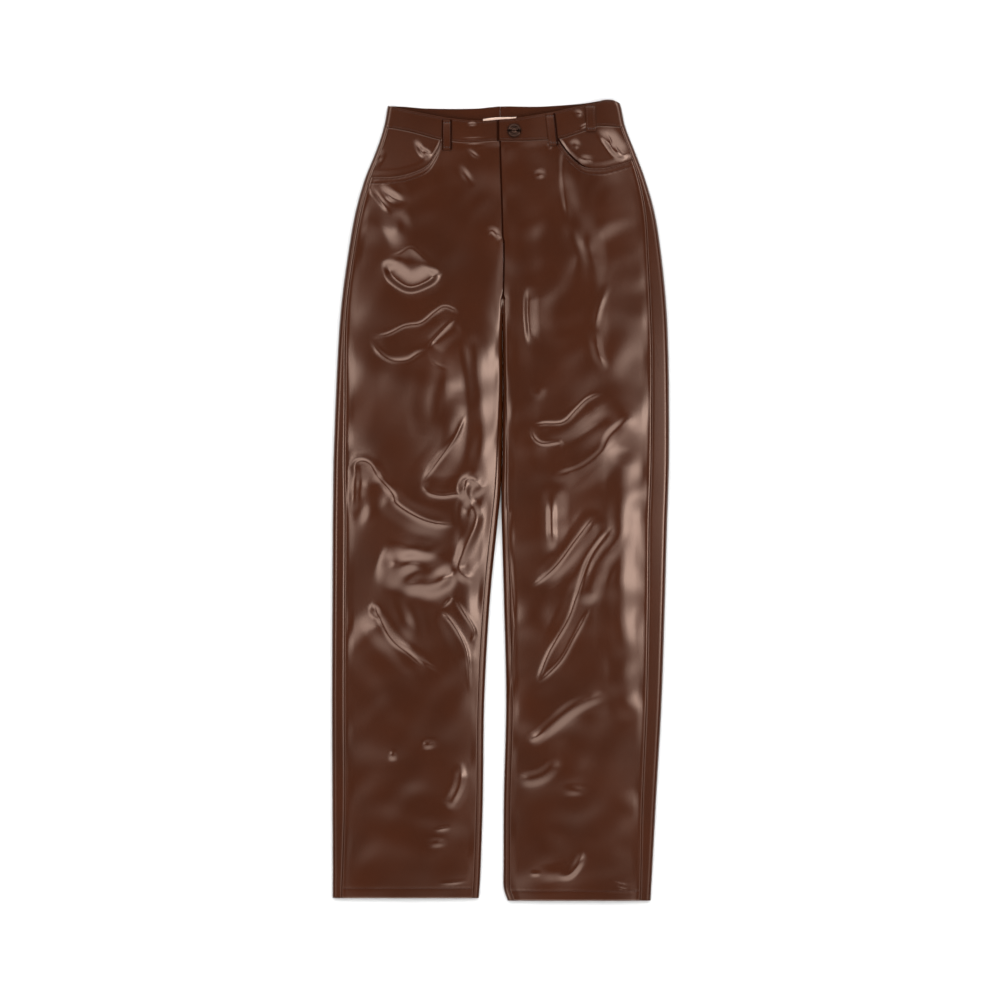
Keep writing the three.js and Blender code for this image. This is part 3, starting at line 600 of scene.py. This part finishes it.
def top_height(leg, x, y, folds=True):
    """Height of the outer surface of the top layer, before anything laps under it."""
    x, y = grids(x, y)
    out = np.maximum(0, (x - leg.out(y)) * leg.inward)
    inn = np.maximum(0, (leg.inn(y) - x) * leg.inward)
    top, shoulder, inner = section["top"](y), section["shoulder"](y), leg.inner(y)
    apart = smooth((CROTCH + CROTCH_TURN / 2 - y) / LEGS_PART)
    full = smooth((y - INNER_FLANK_FROM) / INNER_FLANK_OVER)
    inner_wide = lerp(INNER_FLANK_LOW, INNER_FLANK[leg.name], full)
    z = top - (top - shoulder) * flank(out / OUTER_FLANK) - (top - inner) * flank(inn / inner_wide)
    z = z - (shoulder / 2) * (1 - roll(out / ROLL))
    z = z - apart * (inner / 2) * (1 - roll(inn / ROLL_IN))
    if not folds:
        return z
    fade = roll(out / ROLL) * lerp(1, roll(inn / ROLL_IN), apart)
    total = np.zeros(x.size)
    for x0, y0, x1, y1, x2, y2, rise, wide0, wide1 in FOLDS[leg.name]:
        crest = bezier([(x0, y0), (x1, y1), (x2, y2)], FOLD_STEPS)
        total += ridge(crest, rise, wide0, wide1, FOLD_TAPER, x.ravel(), y.ravel())
    return z + fade * total.reshape(x.shape)


def fly_lift(leg, x, y):
    """How far the right front is lifted where it laps over the left one."""
    if not leg.right:
        return 0.0
    past, below = x - leg.inn(y) - FLY_LAP, FLY_END - y
    return FLY_LIFT * (1 - smooth((below - LIFT_HOLD) / LIFT_FADE)) * (
        1 - smooth((past - LIFT_HOLD) / LIFT_FADE)
    )


def edge_dip(d, kind="edge"):
    """How far cloth turns down towards a seam or a folded edge at distance d."""
    depth, width = DIPS[kind]
    return depth * (1 - clamp(d / width)) ** 2


def groove(d, x):
    """Pull of a row of stitches at distance d from it, with puckers along x."""
    phase = x * (2 * math.pi / PUCKER_LENGTH)
    return (GROOVE + PUCKER * np.sin(phase)) * np.exp(-((d / GROOVE_WIDTH) ** 2))


def front_surface(leg, x, y):
    """Height of a front, with its folds, its turned edges and the dips beside its seams."""
    x, y = grids(x, y)
    to_side = np.maximum(np.abs(x - leg.side_seam(y)) - SEAM_GAP, 0)
    to_inner = np.abs(x - leg.inner_edge(y))
    to_hem = np.maximum(y - leg.hem, 0)
    to_end = np.maximum(leg.front_end(x) - SEAM_GAP - y, 0)
    in_pocket = between(x, leg.first, leg.last, POCKET_FADE, POCKET_FADE)
    calm = smooth(to_side / CALM_SIDE) * smooth(to_inner / CALM_INNER) * smooth(to_end / CALM_END)
    ripples = waviness(x, y, leg.name) + rumples(leg, x, y)
    z = top_height(leg, x, y) + fly_lift(leg, x, y)
    z = z + creases(leg.name, x, y) + calm * ripples
    for d in (to_side, to_hem):
        z = z - edge_dip(d)
    z = z - edge_dip(to_end, "end")
    z = z + SEAM_BEAD * np.exp(-(((to_side - SEAM_BEAD_AT) / SEAM_BEAD_WIDTH) ** 2))
    z = z - edge_dip(to_inner) * smooth((CROTCH + 2 * CROTCH_TURN - y) / CROTCH_TURN)
    z = z - groove(to_hem - HEM_DEPTH, x)
    z = z - in_pocket * sum(groove(to_end - row, x) for row in POCKET_ROWS)
    if leg.right:
        z = z + FRONT_GAPE_RISE * between(x, *FRONT_GAPE) * flank(to_end / FRONT_GAPE_WIDE)
    return z


def add_object(name, data):
    made = bpy.data.objects.new(name, data)
    stage.collection.objects.link(made)
    return made


def mesh_object(name, points, faces, materials, material_of=None, sharp=55):
    mesh = bpy.data.meshes.new(name)
    mesh.from_pydata((np.asarray(points) * MM).tolist(), [], faces)
    for material in materials:
        mesh.materials.append(material)
    if material_of is not None:
        mesh.polygons.foreach_set("material_index", np.asarray(material_of, np.int32))
    mesh.polygons.foreach_set("use_smooth", np.ones(len(mesh.polygons), bool))
    mesh.update()
    mesh.set_sharp_from_angle(angle=math.radians(sharp))
    return add_object(name, mesh)


def coarse(count, stride):
    """Every so many of a count of places, and always the last."""
    steps = list(range(0, count, stride))
    if steps[-1] != count - 1:
        steps.append(count - 1)
    return steps


def wall_mesh(name, outer, inner, materials, stride=4, flip=False, dark=None):
    """A closed wall: a fine outer grid, the inner one thinned by the stride, and rims between.

    Where dark holds, the outer faces take the third material, a painted shade.
    """
    rows, columns = outer.shape[:2]
    js, is_ = coarse(rows, stride), coarse(columns, stride)
    inner = inner[np.ix_(js, is_)]
    base = rows * columns
    points = np.concatenate([outer.reshape(-1, 3), inner.reshape(-1, 3)])
    o = np.arange(base).reshape(rows, columns)
    n = base + np.arange(len(js) * len(is_)).reshape(len(js), len(is_))

    def quads(g, back):
        q = np.stack([g[:-1, :-1], g[:-1, 1:], g[1:, 1:], g[1:, :-1]], -1).reshape(-1, 4)
        return (q[:, ::-1] if back else q).tolist()

    faces = quads(o, False)
    outside = len(faces)
    faces += quads(n, True)
    lining = len(faces)

    def rim(fine, thin, steps, back):
        for k in range(len(steps) - 1):
            run = fine[steps[k]: steps[k + 1] + 1].tolist()
            loop = [int(thin[k + 1]), int(thin[k])] + run
            faces.append(loop if not back else loop[::-1])

    rim(o[0], n[0], is_, True)
    rim(o[-1], n[-1], is_, False)
    rim(o[:, 0], n[:, 0], js, False)
    rim(o[:, -1], n[:, -1], js, True)
    if flip:
        faces = [f[::-1] for f in faces]
    index = np.zeros(len(faces), int)
    index[outside:lining] = 1
    if dark is not None:
        index[:outside][dark.ravel()] = 2
    return mesh_object(name, points, faces, materials, index)


def grid_normals(p):
    """Normals of a grid of points, pointing to the side from which rows run left of columns."""
    du = np.gradient(p, axis=1)
    dv = np.gradient(p, axis=0)
    n = np.cross(du, dv)
    return n / np.maximum(np.linalg.norm(n, axis=2, keepdims=True), 1e-9)


def centres(grid):
    """Middles of the cells of a grid."""
    return (grid[:-1, :-1] + grid[1:, :-1] + grid[:-1, 1:] + grid[1:, 1:]) / 4


def front_grid(leg):
    """Points of a front: rows from the hem up bend above WARP_FROM to follow its top edge."""
    near = NEAR_EDGE
    levels = np.linspace(leg.hem + near[-1], SEAM_LEVEL - near[-1], FRONT_ROWS + 1)
    levels = np.concatenate([leg.hem + near[:-1], levels, SEAM_LEVEL - near[::-1][1:]])
    share = np.arange(FRONT_ACROSS + 2 * len(near) - 1)
    level = levels[:, None]
    y = np.repeat(level, len(share), 1)
    for _ in range(FRONT_FITS):
        a = leg.side_seam(y) + leg.inward * SEAM_GAP
        b = leg.inner_edge(y)
        width = np.abs(b - a)
        middle = np.clip((share - len(near) + 1) / FRONT_ACROSS, 0, 1)
        off = near[-1] + (width - 2 * near[-1]) * middle
        off = np.where(share < len(near), near[np.minimum(share, len(near) - 1)], off)
        back = share[::-1]
        off = np.where(back < len(near), width - near[np.minimum(back, len(near) - 1)], off)
        x = a + leg.inward * off
        end = leg.front_end(x) - SEAM_GAP
        rise = (level - WARP_FROM) / (SEAM_LEVEL - near[-1] - WARP_FROM)
        bent = lerp(WARP_FROM, end - near[-1], rise)
        top = end - (SEAM_LEVEL - level)
        above = np.where(level > SEAM_LEVEL - near[-1] + 1e-6, top, bent)
        y = np.where(level <= WARP_FROM, level, above)
    return x, y


def front_piece(leg, materials):
    x, y = front_grid(leg)
    z = front_surface(leg, x, y)
    outer = np.stack([x, y, z], -1)
    n = grid_normals(outer)
    down = leg.cloth(y) / np.maximum(np.abs(n[..., 2]), STEEPEST)
    inner = np.stack([x, y, z - down], -1)
    # Painted shade: a dark strip along the right front's fly edge, standing in for the shadow of the
    # lap
    dark = None
    if leg.right:
        at_x, at_y = centres(x), centres(y)
        dark = (np.abs(at_x - leg.inner_edge(at_y)) < PAINTED_SHADE_WIDTH) & (at_y > CROTCH)
    return wall_mesh("front_" + leg.name, outer, inner, materials, flip=leg.right, dark=dark)


def skin(leg, y, layer, t, reach, height):
    """A point of the outer skin of a section, as x and z."""
    edge, inside = leg.out(y), leg.inn(y)
    turn, drop = 1 - math.cos(t * math.pi / 2), 1 - math.sin(t * math.pi / 2)
    if layer == "under":
        return edge + leg.inward * ROLL * turn, section["shoulder"](y) / 2 * drop
    if layer == "floor":
        x = lerp(edge + leg.inward * ROLL, inside - leg.inward * ROLL_IN, t)
        return x, np.zeros_like(x)
    if layer == "under_in":
        return inside - leg.inward * ROLL_IN * turn, leg.inner(y) / 2 * drop
    if layer == "over":
        x = edge + leg.inward * reach * turn
    else:
        x = inside - leg.inward * leg.inseam_inset(y) * turn
    return x, height(x, y)


def back_surface(leg, x, y):
    """Height of the back's strip that shows beside the side seam and the inseam."""
    z = top_height(leg, x, y) + creases(leg.name, x, y)
    past = (leg.side_seam(y) - x) * leg.inward
    lift = SIDE_LEVEL * np.maximum(past, 0) - edge_dip(np.abs(past))
    return z + lift * roll(np.abs(x - leg.out(y)) / ROLL)


def back_piece(leg, materials):
    """A back: from the side seam round the outer edge, along the surface and up to the inseam."""
    height = partial(back_surface, leg)
    over = [("over", t) for t in np.linspace(1, 0, 21)]
    under = [("under", t) for t in even(9)[1:]]
    floor = [("floor", t) for t in even(15)[1:]]
    near = NEAR_EDGE
    levels = np.concatenate([
        leg.hem + near[:-1],
        np.linspace(leg.hem + near[-1], CROTCH, BACK_ROWS),
        [CROTCH + CROTCH_TURN, CROTCH + 2 * CROTCH_TURN],
        np.linspace(CROTCH + 2 * CROTCH_TURN, SEAM_LEVEL, SEAT_ROWS)[1:],
    ])

    def fitted(seam):
        """Rows that bend above WARP_FROM to end at a seam."""
        share = (levels - WARP_FROM) / (SEAM_LEVEL - WARP_FROM)
        return np.where(levels <= WARP_FROM, levels, lerp(WARP_FROM, seam - SEAM_GAP, share))

    columns = []
    for layer, t in over + under + floor:
        y = levels.copy()
        for _ in range(FITS):
            x, z = skin(leg, y, layer, t, leg.inset(y), height)
            y = fitted(front_seam(x) if layer == "over" else back_seam(x))
        columns.append(np.stack([x, y, z], -1))
    y = fitted(back_seam(0.0))
    flat = y > CROTCH + 1.5 * CROTCH_TURN
    upright = (y > CROTCH + 0.5 * CROTCH_TURN) & ~flat
    for k in range(1, BACK_INNER + 1):
        share = k / BACK_INNER
        if share <= 0.5:
            x, z = skin(leg, y, "under_in", 1 - 2 * share, 0, height)
        else:
            x, z = skin(leg, y, "over_in", 2 * share - 1, 0, height)
            rise = lerp(leg.inner(y) / 2, leg.inner(y) - SEAT_TURN_DROP, 2 * share - 1)
            x, z = np.where(upright, leg.inn(y), x), np.where(upright, rise, z)
        x = np.where(flat, leg.inn(y) - leg.inward * ROLL_IN * (1 - share), x)
        z = np.where(flat, 0, z)
        columns.append(np.stack([x, y, z], -1))
    outer = np.stack(columns, 1)
    n = grid_normals(outer)
    middle = n[len(levels) // 2, len(over) + len(under) + 4]
    if middle[2] > 0:
        n = -n
    inner = outer - n * leg.cloth(outer[..., 1])[..., None]
    return wall_mesh("back_" + leg.name, outer, inner, materials, stride=2, flip=not leg.right)


def band_height(leg, x, y):
    """Height of the waistband before its creases and sewing."""
    out = (x - leg.out(y)) * leg.inward
    lift = 0.0
    if leg.right:
        lift = LAP_LIFT * (1 - smooth((x - LAP_END - LIFT_HOLD) / LIFT_FADE))
    return top_height(leg, x, y, False) + BAND_PROUD * roll(out / ROLL) + lift


def band_surface(leg, x, y):
    """Height of the front of a waistband, with its creases, stitching and rounded edges."""
    x, y = grids(x, y)
    z = band_height(leg, x, y) + creases("band_" + leg.name, x, y)
    for d in (front_top(x) - y, y - front_seam(x)):
        z = z - edge_dip(np.maximum(d, 0), "band") - BAND_GROOVE * groove(d - BAND_ROW, x)
    out = np.maximum(0, (x - leg.out(y)) * leg.inward)
    return z + BAND_WAVES * smooth(out / BAND_CALM) * waviness(x, y, "band")


def band_piece(leg, materials):
    """Half the waistband: along the surface from the centre-back, round the side, over the front."""
    height = partial(band_surface, leg)
    plan = [("back", t) for t in even(40)]
    plan += [("under", t) for t in np.linspace(1, 0, 9)[1:]]
    plan += [("over", t) for t in even(17)[1:]]
    plan += [("front", t) for t in even(110)[1:]]
    near = NEAR_EDGE
    middle = np.linspace(near[-1], BAND_TALL - near[-1], BAND_ROWS + 1)[1:-1]
    rows = np.concatenate([near, middle, BAND_TALL - near[::-1]]) / BAND_TALL
    columns = []
    for layer, t in plan:
        y = np.full(len(rows), SEAM_LEVEL)
        for _ in range(FITS):
            edge = leg.out(y)
            if layer == "back":
                x = lerp(leg.inn(y), edge + leg.inward * ROLL, t)
                z = np.zeros_like(x)
            elif layer == "front":
                x = lerp(edge + leg.inward * BAND_REACH, leg.band_end, t)
                z = height(x, y) - edge_dip(np.abs(x - leg.band_end), "lap")
            else:
                x, z = skin(leg, y, layer, t, BAND_REACH, height)
            if layer in ("over", "front"):
                y = lerp(front_seam(x), front_top(x), rows)
            else:
                y = lerp(back_seam(x), back_top(x), rows)
        columns.append(np.stack([x, y, z], -1))
    outer = np.stack(columns, 1)
    n = grid_normals(outer)
    if n[len(rows) // 2, 5, 2] > 0:
        n = -n
    inner = outer - n * BAND
    # Painted shade: the right band's last two columns are dark, standing in for the shadow at the
    # lap's end
    dark = np.zeros((len(rows) - 1, len(plan) - 1), bool)
    dark[:, -2:] = leg.right
    return wall_mesh(
        "band_" + leg.name, outer, inner, materials, stride=2, flip=leg.right, dark=dark,
    )


def facing_surface(leg, x, y):
    """Height of a pocket facing, which lies deeper where the front covers it."""
    x, y = grids(x, y)
    past = y - leg.pocket_edge(x)
    shown = smooth(past / FACING_OPEN)
    z = top_height(leg, x, y, False) - FACING_DEPTH + shown
    z = z + creases("facing_" + leg.name, x, y) * shown
    if leg.right:
        z = z - FACING_GAPE_DROP * between(x, *FACING_GAPE) * flank(past / FACING_GAPE_WIDE)
    return z - 0.6 * edge_dip(np.maximum(front_seam(x) - SEAM_GAP - y, 0))


def facing_piece(leg, materials):
    mouth = leg.first if leg.right else leg.last
    start = mouth + leg.inward * FACING_START
    i, j = np.meshgrid(*map(even, FACING_GRID))
    x, y = np.full(i.shape, float(start)), np.full(i.shape, SEAM_LEVEL)
    for _ in range(FITS):
        x = lerp(start, leg.side_seam(y) + leg.inward * SEAM_GAP, i)
        y = lerp(leg.pocket_edge(x) - FACING_UNDER, front_seam(x) - SEAM_GAP, j)
    z = facing_surface(leg, x, y)
    outer = np.stack([x, y, z], -1)
    inner = np.stack([x, y, z - CLOTH], -1)
    # Painted shade: a dark crescent on the right facing under the pocket's edge, standing in for the
    # shadow in the open pocket
    dark = None
    if leg.right:
        at_x, at_y = centres(x), centres(y)
        reach = POCKET_SHADE * between(at_x, *POCKET_SHADE_SPAN)
        dark = at_y - leg.pocket_edge(at_x) < reach
    return wall_mesh("facing_" + leg.name, outer, inner, materials, flip=not leg.right, dark=dark)


def belt_loop(name, x0, y0, x1, y1, shade_left, shade_right, materials):
    """A folded strip sewn down at both ends, bowed a little between them."""
    along, across = LOOP_GRID
    t, side = np.meshgrid(even(along), np.linspace(-0.5, 0.5, across), indexing="ij")
    x, y = lerp(x0, x1, t) + side * LOOP_WIDTH, lerp(y0, y1, t)
    leg = LEGS["left" if x0 < 0 else "right"]
    to_end = np.minimum(t, 1 - t) * abs(y1 - y0)
    to_side = (0.5 - np.abs(side)) * LOOP_WIDTH
    seat = band_height(leg, x, y) + LAY_GAP + LOOP_BOW * np.sin(math.pi * t)
    z = seat + LOOP_CLOTH - edge_dip(to_side, "loop") - edge_dip(to_end, "loop")
    z = z - 0.15 * np.exp(-(((to_end - LOOP_TACK) / 1.6) ** 2))
    outer, inner = np.stack([x, y, z], -1), np.stack([x, y, seat], -1)
    # Painted shade: dark strips along the loop's sides, standing in for the shadow beside its edges
    middle = centres(side) * LOOP_WIDTH
    dark = (middle < shade_left - LOOP_WIDTH / 2) | (middle > LOOP_WIDTH / 2 - shade_right)
    return wall_mesh(name, outer, inner, materials, stride=3, flip=True, dark=dark)


def button_piece(materials):
    profile = chain(BUTTON_PROFILE, 4)
    profile[:, 0] = np.maximum(profile[:, 0], 0)
    points, faces = [], []
    base = float(band_height(LEGS["right"], *BUTTON_AT)) + LAY_GAP
    for k in range(BUTTON_TURNS):
        way = 2 * math.pi * k / BUTTON_TURNS
        for r, h in profile[1:-1]:
            points.append(
                (BUTTON_AT[0] + r * math.cos(way), BUTTON_AT[1] + r * math.sin(way), base + h)
            )
    count = len(profile) - 2
    bottom, top = len(points), len(points) + 1
    points += [(*BUTTON_AT, base + profile[0, 1]), (*BUTTON_AT, base + profile[-1, 1])]
    for k in range(BUTTON_TURNS):
        a, b = k * count, (k + 1) % BUTTON_TURNS * count
        faces += [(a + i, b + i, b + i + 1, a + i + 1) for i in range(count - 1)]
        faces += [(bottom, b, a), (top, a + count - 1, b + count - 1)]
    return mesh_object("button_cap", points, faces, materials, sharp=70)


def tape_piece(materials):
    x0, x1, y0 = TAPE
    i, j = np.meshgrid(*map(even, TAPE_GRID))
    x = lerp(x0, x1, i)
    y1 = curve(TAPE_TOP)(x)
    y = lerp(y0, y1, j)
    to_edge = np.minimum.reduce([x - x0, x1 - x, y - y0, y1 - y])
    z = BAND + LAY_GAP + TAPE_THICK - 0.4 * (1 - clamp(to_edge / 0.8)) ** 2 + 0.12 * np.sin(x / 4)
    outer = np.stack([x, y, z], -1)
    inner = np.stack([x, y, np.full(x.shape, BAND + LAY_GAP)], -1)
    return wall_mesh("waist_tape", outer, inner, materials)


def stitches(name, paths, material):
    """Rows of stitches, each a short thread that dips into the cloth at both ends.

    A path is a polyline in x and y with the height of the cloth as a function.
    """
    rings = np.array([-0.5, -0.3, 0.3, 0.5])
    swell, sink = (0.45, 1.0, 1.0, 0.45), (0.35, 0.0, 0.0, 0.35)
    sides = 6
    points, faces = [], []
    for path, height in paths:
        path = np.array(path, float)
        far = np.concatenate([[0], np.hypot(*np.diff(path, axis=0).T).cumsum()])
        middles = np.arange(STITCH_STEP / 2, far[-1], STITCH_STEP)
        ends = np.stack([middles + r * STITCH for r in rings], 1).clip(0, far[-1])
        x = np.interp(ends, far, path[:, 0])
        y = np.interp(ends, far, path[:, 1])
        z = height(x, y)
        for k in range(len(middles)):
            way = np.array([x[k, -1] - x[k, 0], y[k, -1] - y[k, 0]])
            way /= max(np.linalg.norm(way), 1e-6)
            first = len(points)
            for r in range(4):
                for a in np.arange(sides) * 2 * math.pi / sides:
                    across, up = THREAD * swell[r] * math.cos(a), THREAD * swell[r] * math.sin(a)
                    points.append((
                        x[k, r] - way[1] * across, y[k, r] + way[0] * across,
                        z[k, r] + STITCH_PROUD - sink[r] + up,
                    ))
            for r in range(3):
                for a in range(sides):
                    b = (a + 1) % sides
                    faces.append((
                        first + r * sides + a, first + (r + 1) * sides + a,
                        first + (r + 1) * sides + b, first + r * sides + b,
                    ))
            faces.append(tuple(first + a for a in range(sides)))
            faces.append(tuple(first + 3 * sides + a for a in reversed(range(sides))))
    return mesh_object(name, points, faces, [material], sharp=80)


def material(name, color, roughness, **more):
    m = bpy.data.materials.new(name)
    m.use_nodes = True
    shader = m.node_tree.nodes["Principled BSDF"]
    shader.inputs["Base Color"].default_value = (*color, 1)
    shader.inputs["Roughness"].default_value = roughness
    for key, value in more.items():
        shader.inputs[key.replace("_", " ")].default_value = value
    return m


def add_node(tree, kind, values=None, operation=None):
    """A new shader node; each input named takes a constant or a link from another node."""
    node = tree.nodes.new(kind)
    if operation:
        node.operation = operation
    for key, value in (values or {}).items():
        if isinstance(value, bpy.types.NodeSocket):
            tree.links.new(value, node.inputs[key])
        else:
            node.inputs[key].default_value = value
    return node


def grained(m, scale, depth, contrast):
    """Fine grain in the height and a slow change in the colour, both from noise."""
    tree = m.node_tree
    shader = tree.nodes["Principled BSDF"]
    colour = tuple(shader.inputs["Base Color"].default_value)[:3]
    place = add_node(tree, "ShaderNodeTexCoord").outputs["Object"]
    grain = add_node(tree, "ShaderNodeTexNoise", {"Vector": place, "Scale": scale, "Detail": 3})
    bump = add_node(
        tree, "ShaderNodeBump", {"Height": grain.outputs["Fac"], "Strength": 1, "Distance": depth},
    )
    slow = add_node(tree, "ShaderNodeTexNoise", {"Vector": place, "Scale": 14, "Detail": 2})
    shade = add_node(tree, "ShaderNodeMapRange", {
        "Value": slow.outputs["Fac"], "To Min": 1 - contrast, "To Max": 1 + contrast,
    })
    scaled = {0: colour, "Scale": shade.outputs["Result"]}
    tint = add_node(tree, "ShaderNodeVectorMath", scaled, "SCALE")
    tree.links.new(bump.outputs["Normal"], shader.inputs["Normal"])
    tree.links.new(tint.outputs["Vector"], shader.inputs["Base Color"])
    return m


leather = grained(
    material(
        "brown faux leather", (0.0275, 0.0045, 0.0001), 0.22,
        Specular_IOR_Level=0.7, Specular_Tint=(1.0, 0.73, 0.6, 1),
    ),
    900, 0.00002, 0.25,
)
backing = material("knit backing", (0.03, 0.012, 0.007), 0.9)
thread = material("brown thread", (0.02, 0.005, 0.002), 0.7)
# Painted shade: a near-black matte colour that stands in for shadow in narrow gaps and beside edges
painted_shade = material("painted edge", (0.010, 0.0027, 0.0014), 0.8, Specular_IOR_Level=0.0)
dark_metal = material("dark metal", (0.034, 0.018, 0.013), 0.12, Metallic=1.0)
cream = grained(material("cream tape", (0.7, 0.5, 0.4), 0.8), 1600, 0.0001, 0.04)

pieces = {}
for leg in LEGS.values():
    pieces["front_panel_" + leg.name] = front_piece(leg, [leather, backing, painted_shade])
    pieces["back_panel_" + leg.name] = back_piece(leg, [leather, backing])
    pieces["waistband_" + leg.name] = band_piece(leg, [leather, leather, painted_shade])
    pieces["pocket_facing_" + leg.name] = facing_piece(leg, [leather, backing, painted_shade])
for loop in LOOPS:
    pieces[loop[0]] = belt_loop("strip_" + loop[0][10:], *loop[1:], [leather, backing, painted_shade])
pieces["button"] = button_piece([dark_metal])
pieces["waist_label"] = tape_piece([cream, cream])
for node, piece in pieces.items():
    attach(piece, "root")
    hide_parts(node)


def sewing(leg):
    """The rows of stitches of one side, on the front and on the waistband."""
    front, band = [], []
    on_front, on_band = partial(front_surface, leg), partial(band_surface, leg)
    y = leg.hem + HEM_DEPTH
    start = float(leg.side_seam(y)) + leg.inward * ROW_CLEAR
    end = float(leg.inner_edge(y)) - leg.inward * ROW_CLEAR
    front.append(([(x, y) for x in np.linspace(start, end, 60)], on_front))
    xs = np.linspace(leg.first, leg.last, 60)
    for drop in POCKET_ROWS:
        ys = leg.front_end(xs) - SEAM_GAP - drop
        keep = (xs - leg.side_seam(ys)) * leg.inward > ROW_CLEAR
        front.append((list(zip(xs[keep], ys[keep])), on_front))
    side = float(leg.out(510)) + leg.inward * 10
    xs = np.linspace(side, leg.band_end - leg.inward * ROW_CLEAR, 120)
    band.append((list(zip(xs, front_seam(xs) + BAND_ROW)), on_band))
    band.append((list(zip(xs, front_top(xs) - BAND_ROW)), on_band))
    return front, band


threads = {}
for leg in LEGS.values():
    front, band = sewing(leg)
    threads["front_panel_" + leg.name] = stitches("stitches_front_" + leg.name, front, thread)
    threads["waistband_" + leg.name] = stitches("stitches_band_" + leg.name, band, thread)
for name, x0, y0, x1, y1, _, _ in LOOPS:
    leg = LEGS["left" if x0 < 0 else "right"]

    def on_loop(x, y):
        bow = LOOP_BOW * np.sin(math.pi * clamp((y - y0) / (y1 - y0)))
        return band_height(leg, x, y) + LAY_GAP + bow + LOOP_CLOTH - 0.25

    rows = []
    for side in (-1, 1):
        x = side * (LOOP_WIDTH / 2 - LOOP_ROW)
        rows.append(([(x0 + x, y0 - 2.5), (x1 + x, y1 + 2.5)], on_loop))
    for end_x, end_y in ((x0, y0 - LOOP_TACK), (x1, y1 + LOOP_TACK)):
        for k in (-0.5, 0.0, 0.5):
            rows.append(([(end_x - 5, end_y + k), (end_x + 5, end_y + k)], on_loop))
    threads[name] = stitches("stitches_strip_" + name[10:], rows, thread)
for piece in threads.values():
    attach(piece, "root")

# The floor, a hair under the garment
FLOOR_HALF = 4000
FLOOR_LEVEL = -0.3
corners = [(-1, -1), (1, -1), (1, 1), (-1, 1)]
floor = mesh_object(
    "floor", [(x * FLOOR_HALF, y * FLOOR_HALF, FLOOR_LEVEL) for x, y in corners], [(0, 1, 2, 3)],
    [material("pale floor", (0.69, 0.69, 0.69), 0.8)],
)

# Camera straight above, framing 1346 mm across the picture
VIEW_WIDTH = 1.346
CAMERA_HEIGHT = 9.0
SENSOR = 36
camera_data = bpy.data.cameras.new("camera")
camera_data.sensor_width = SENSOR
camera_data.lens = SENSOR * CAMERA_HEIGHT / VIEW_WIDTH
camera = add_object("camera", camera_data)
camera.location = (-0.0007, 0.0003, CAMERA_HEIGHT)
stage.camera = camera


def softbox(name, place, size, radiance):
    """A rectangular light that faces the middle of the garment."""
    data = bpy.data.lights.new(name, "AREA")
    data.shape, data.size, data.size_y = "RECTANGLE", *size
    data.energy = radiance * math.pi * size[0] * size[1]
    light = add_object(name, data)
    light.location = place
    light.rotation_euler = (0, math.atan2(place[0], place[2]), 0)
    light.visible_camera = False


softbox("softbox_right", (1.35, -0.04, 2.4), (0.85, 0.46), 11)
softbox("softbox_near", (0.75, -0.02, 2.7), (0.6, 0.5), 3)
softbox("softbox_left", (-1.2, 0.03, 2.4), (0.7, 0.5), 6.5)

# Surroundings: dark about an axis near straight above, bright from a little way down towards the
# waist and the hems, dim to both sides; both tables hold a place on the axis and the brightness
SKY = [
    (0.0, 0.06), (0.35, 0.07), (0.55, 0.1), (0.66, 0.3), (0.74, 0.85), (0.8, 1.0), (0.88, 0.85),
    (0.93, 0.4), (0.965, 0.14), (0.985, 0.04), (1.0, 0.005),
]
SKY_ALONG = [(0.0, 0.8), (0.36, 0.8), (0.44, 0.12), (0.56, 0.12), (0.64, 1.0), (1.0, 1.0)]
SKY_STRENGTH = 5.8
SKY_AXIS = (0.0, 0.08, 0.997)


def table_ramp(tree, table, place):
    """The shade at a place, from a table that is straight between its rows."""
    node = add_node(tree, "ShaderNodeValToRGB", {0: place})
    ramp = node.color_ramp
    ramp.interpolation = "LINEAR"
    while len(ramp.elements) < len(table):
        ramp.elements.new(0.5)
    for element, (position, shade) in zip(ramp.elements, table):
        element.position = position
        element.color = (shade, shade, shade, 1)
    return node.outputs[0]


world = bpy.data.worlds.new("surroundings")
stage.world = world
world.use_nodes = True
tree = world.node_tree
way = add_node(tree, "ShaderNodeTexCoord").outputs["Generated"]
split = add_node(tree, "ShaderNodeSeparateXYZ", {0: way})
height = add_node(tree, "ShaderNodeVectorMath", {0: way, 1: SKY_AXIS}, "DOT_PRODUCT")
middle = add_node(tree, "ShaderNodeMath", {0: split.outputs["Y"], 1: 0.5, 2: 0.5}, "MULTIPLY_ADD")
along = table_ramp(tree, SKY_ALONG, middle.outputs[0])
strength = add_node(tree, "ShaderNodeMath", {0: along, 1: SKY_STRENGTH}, "MULTIPLY")
background = tree.nodes["Background"]
tree.links.new(table_ramp(tree, SKY, height.outputs["Value"]), background.inputs["Color"])
tree.links.new(strength.outputs[0], background.inputs["Strength"])

stage.view_settings.view_transform = "Standard"
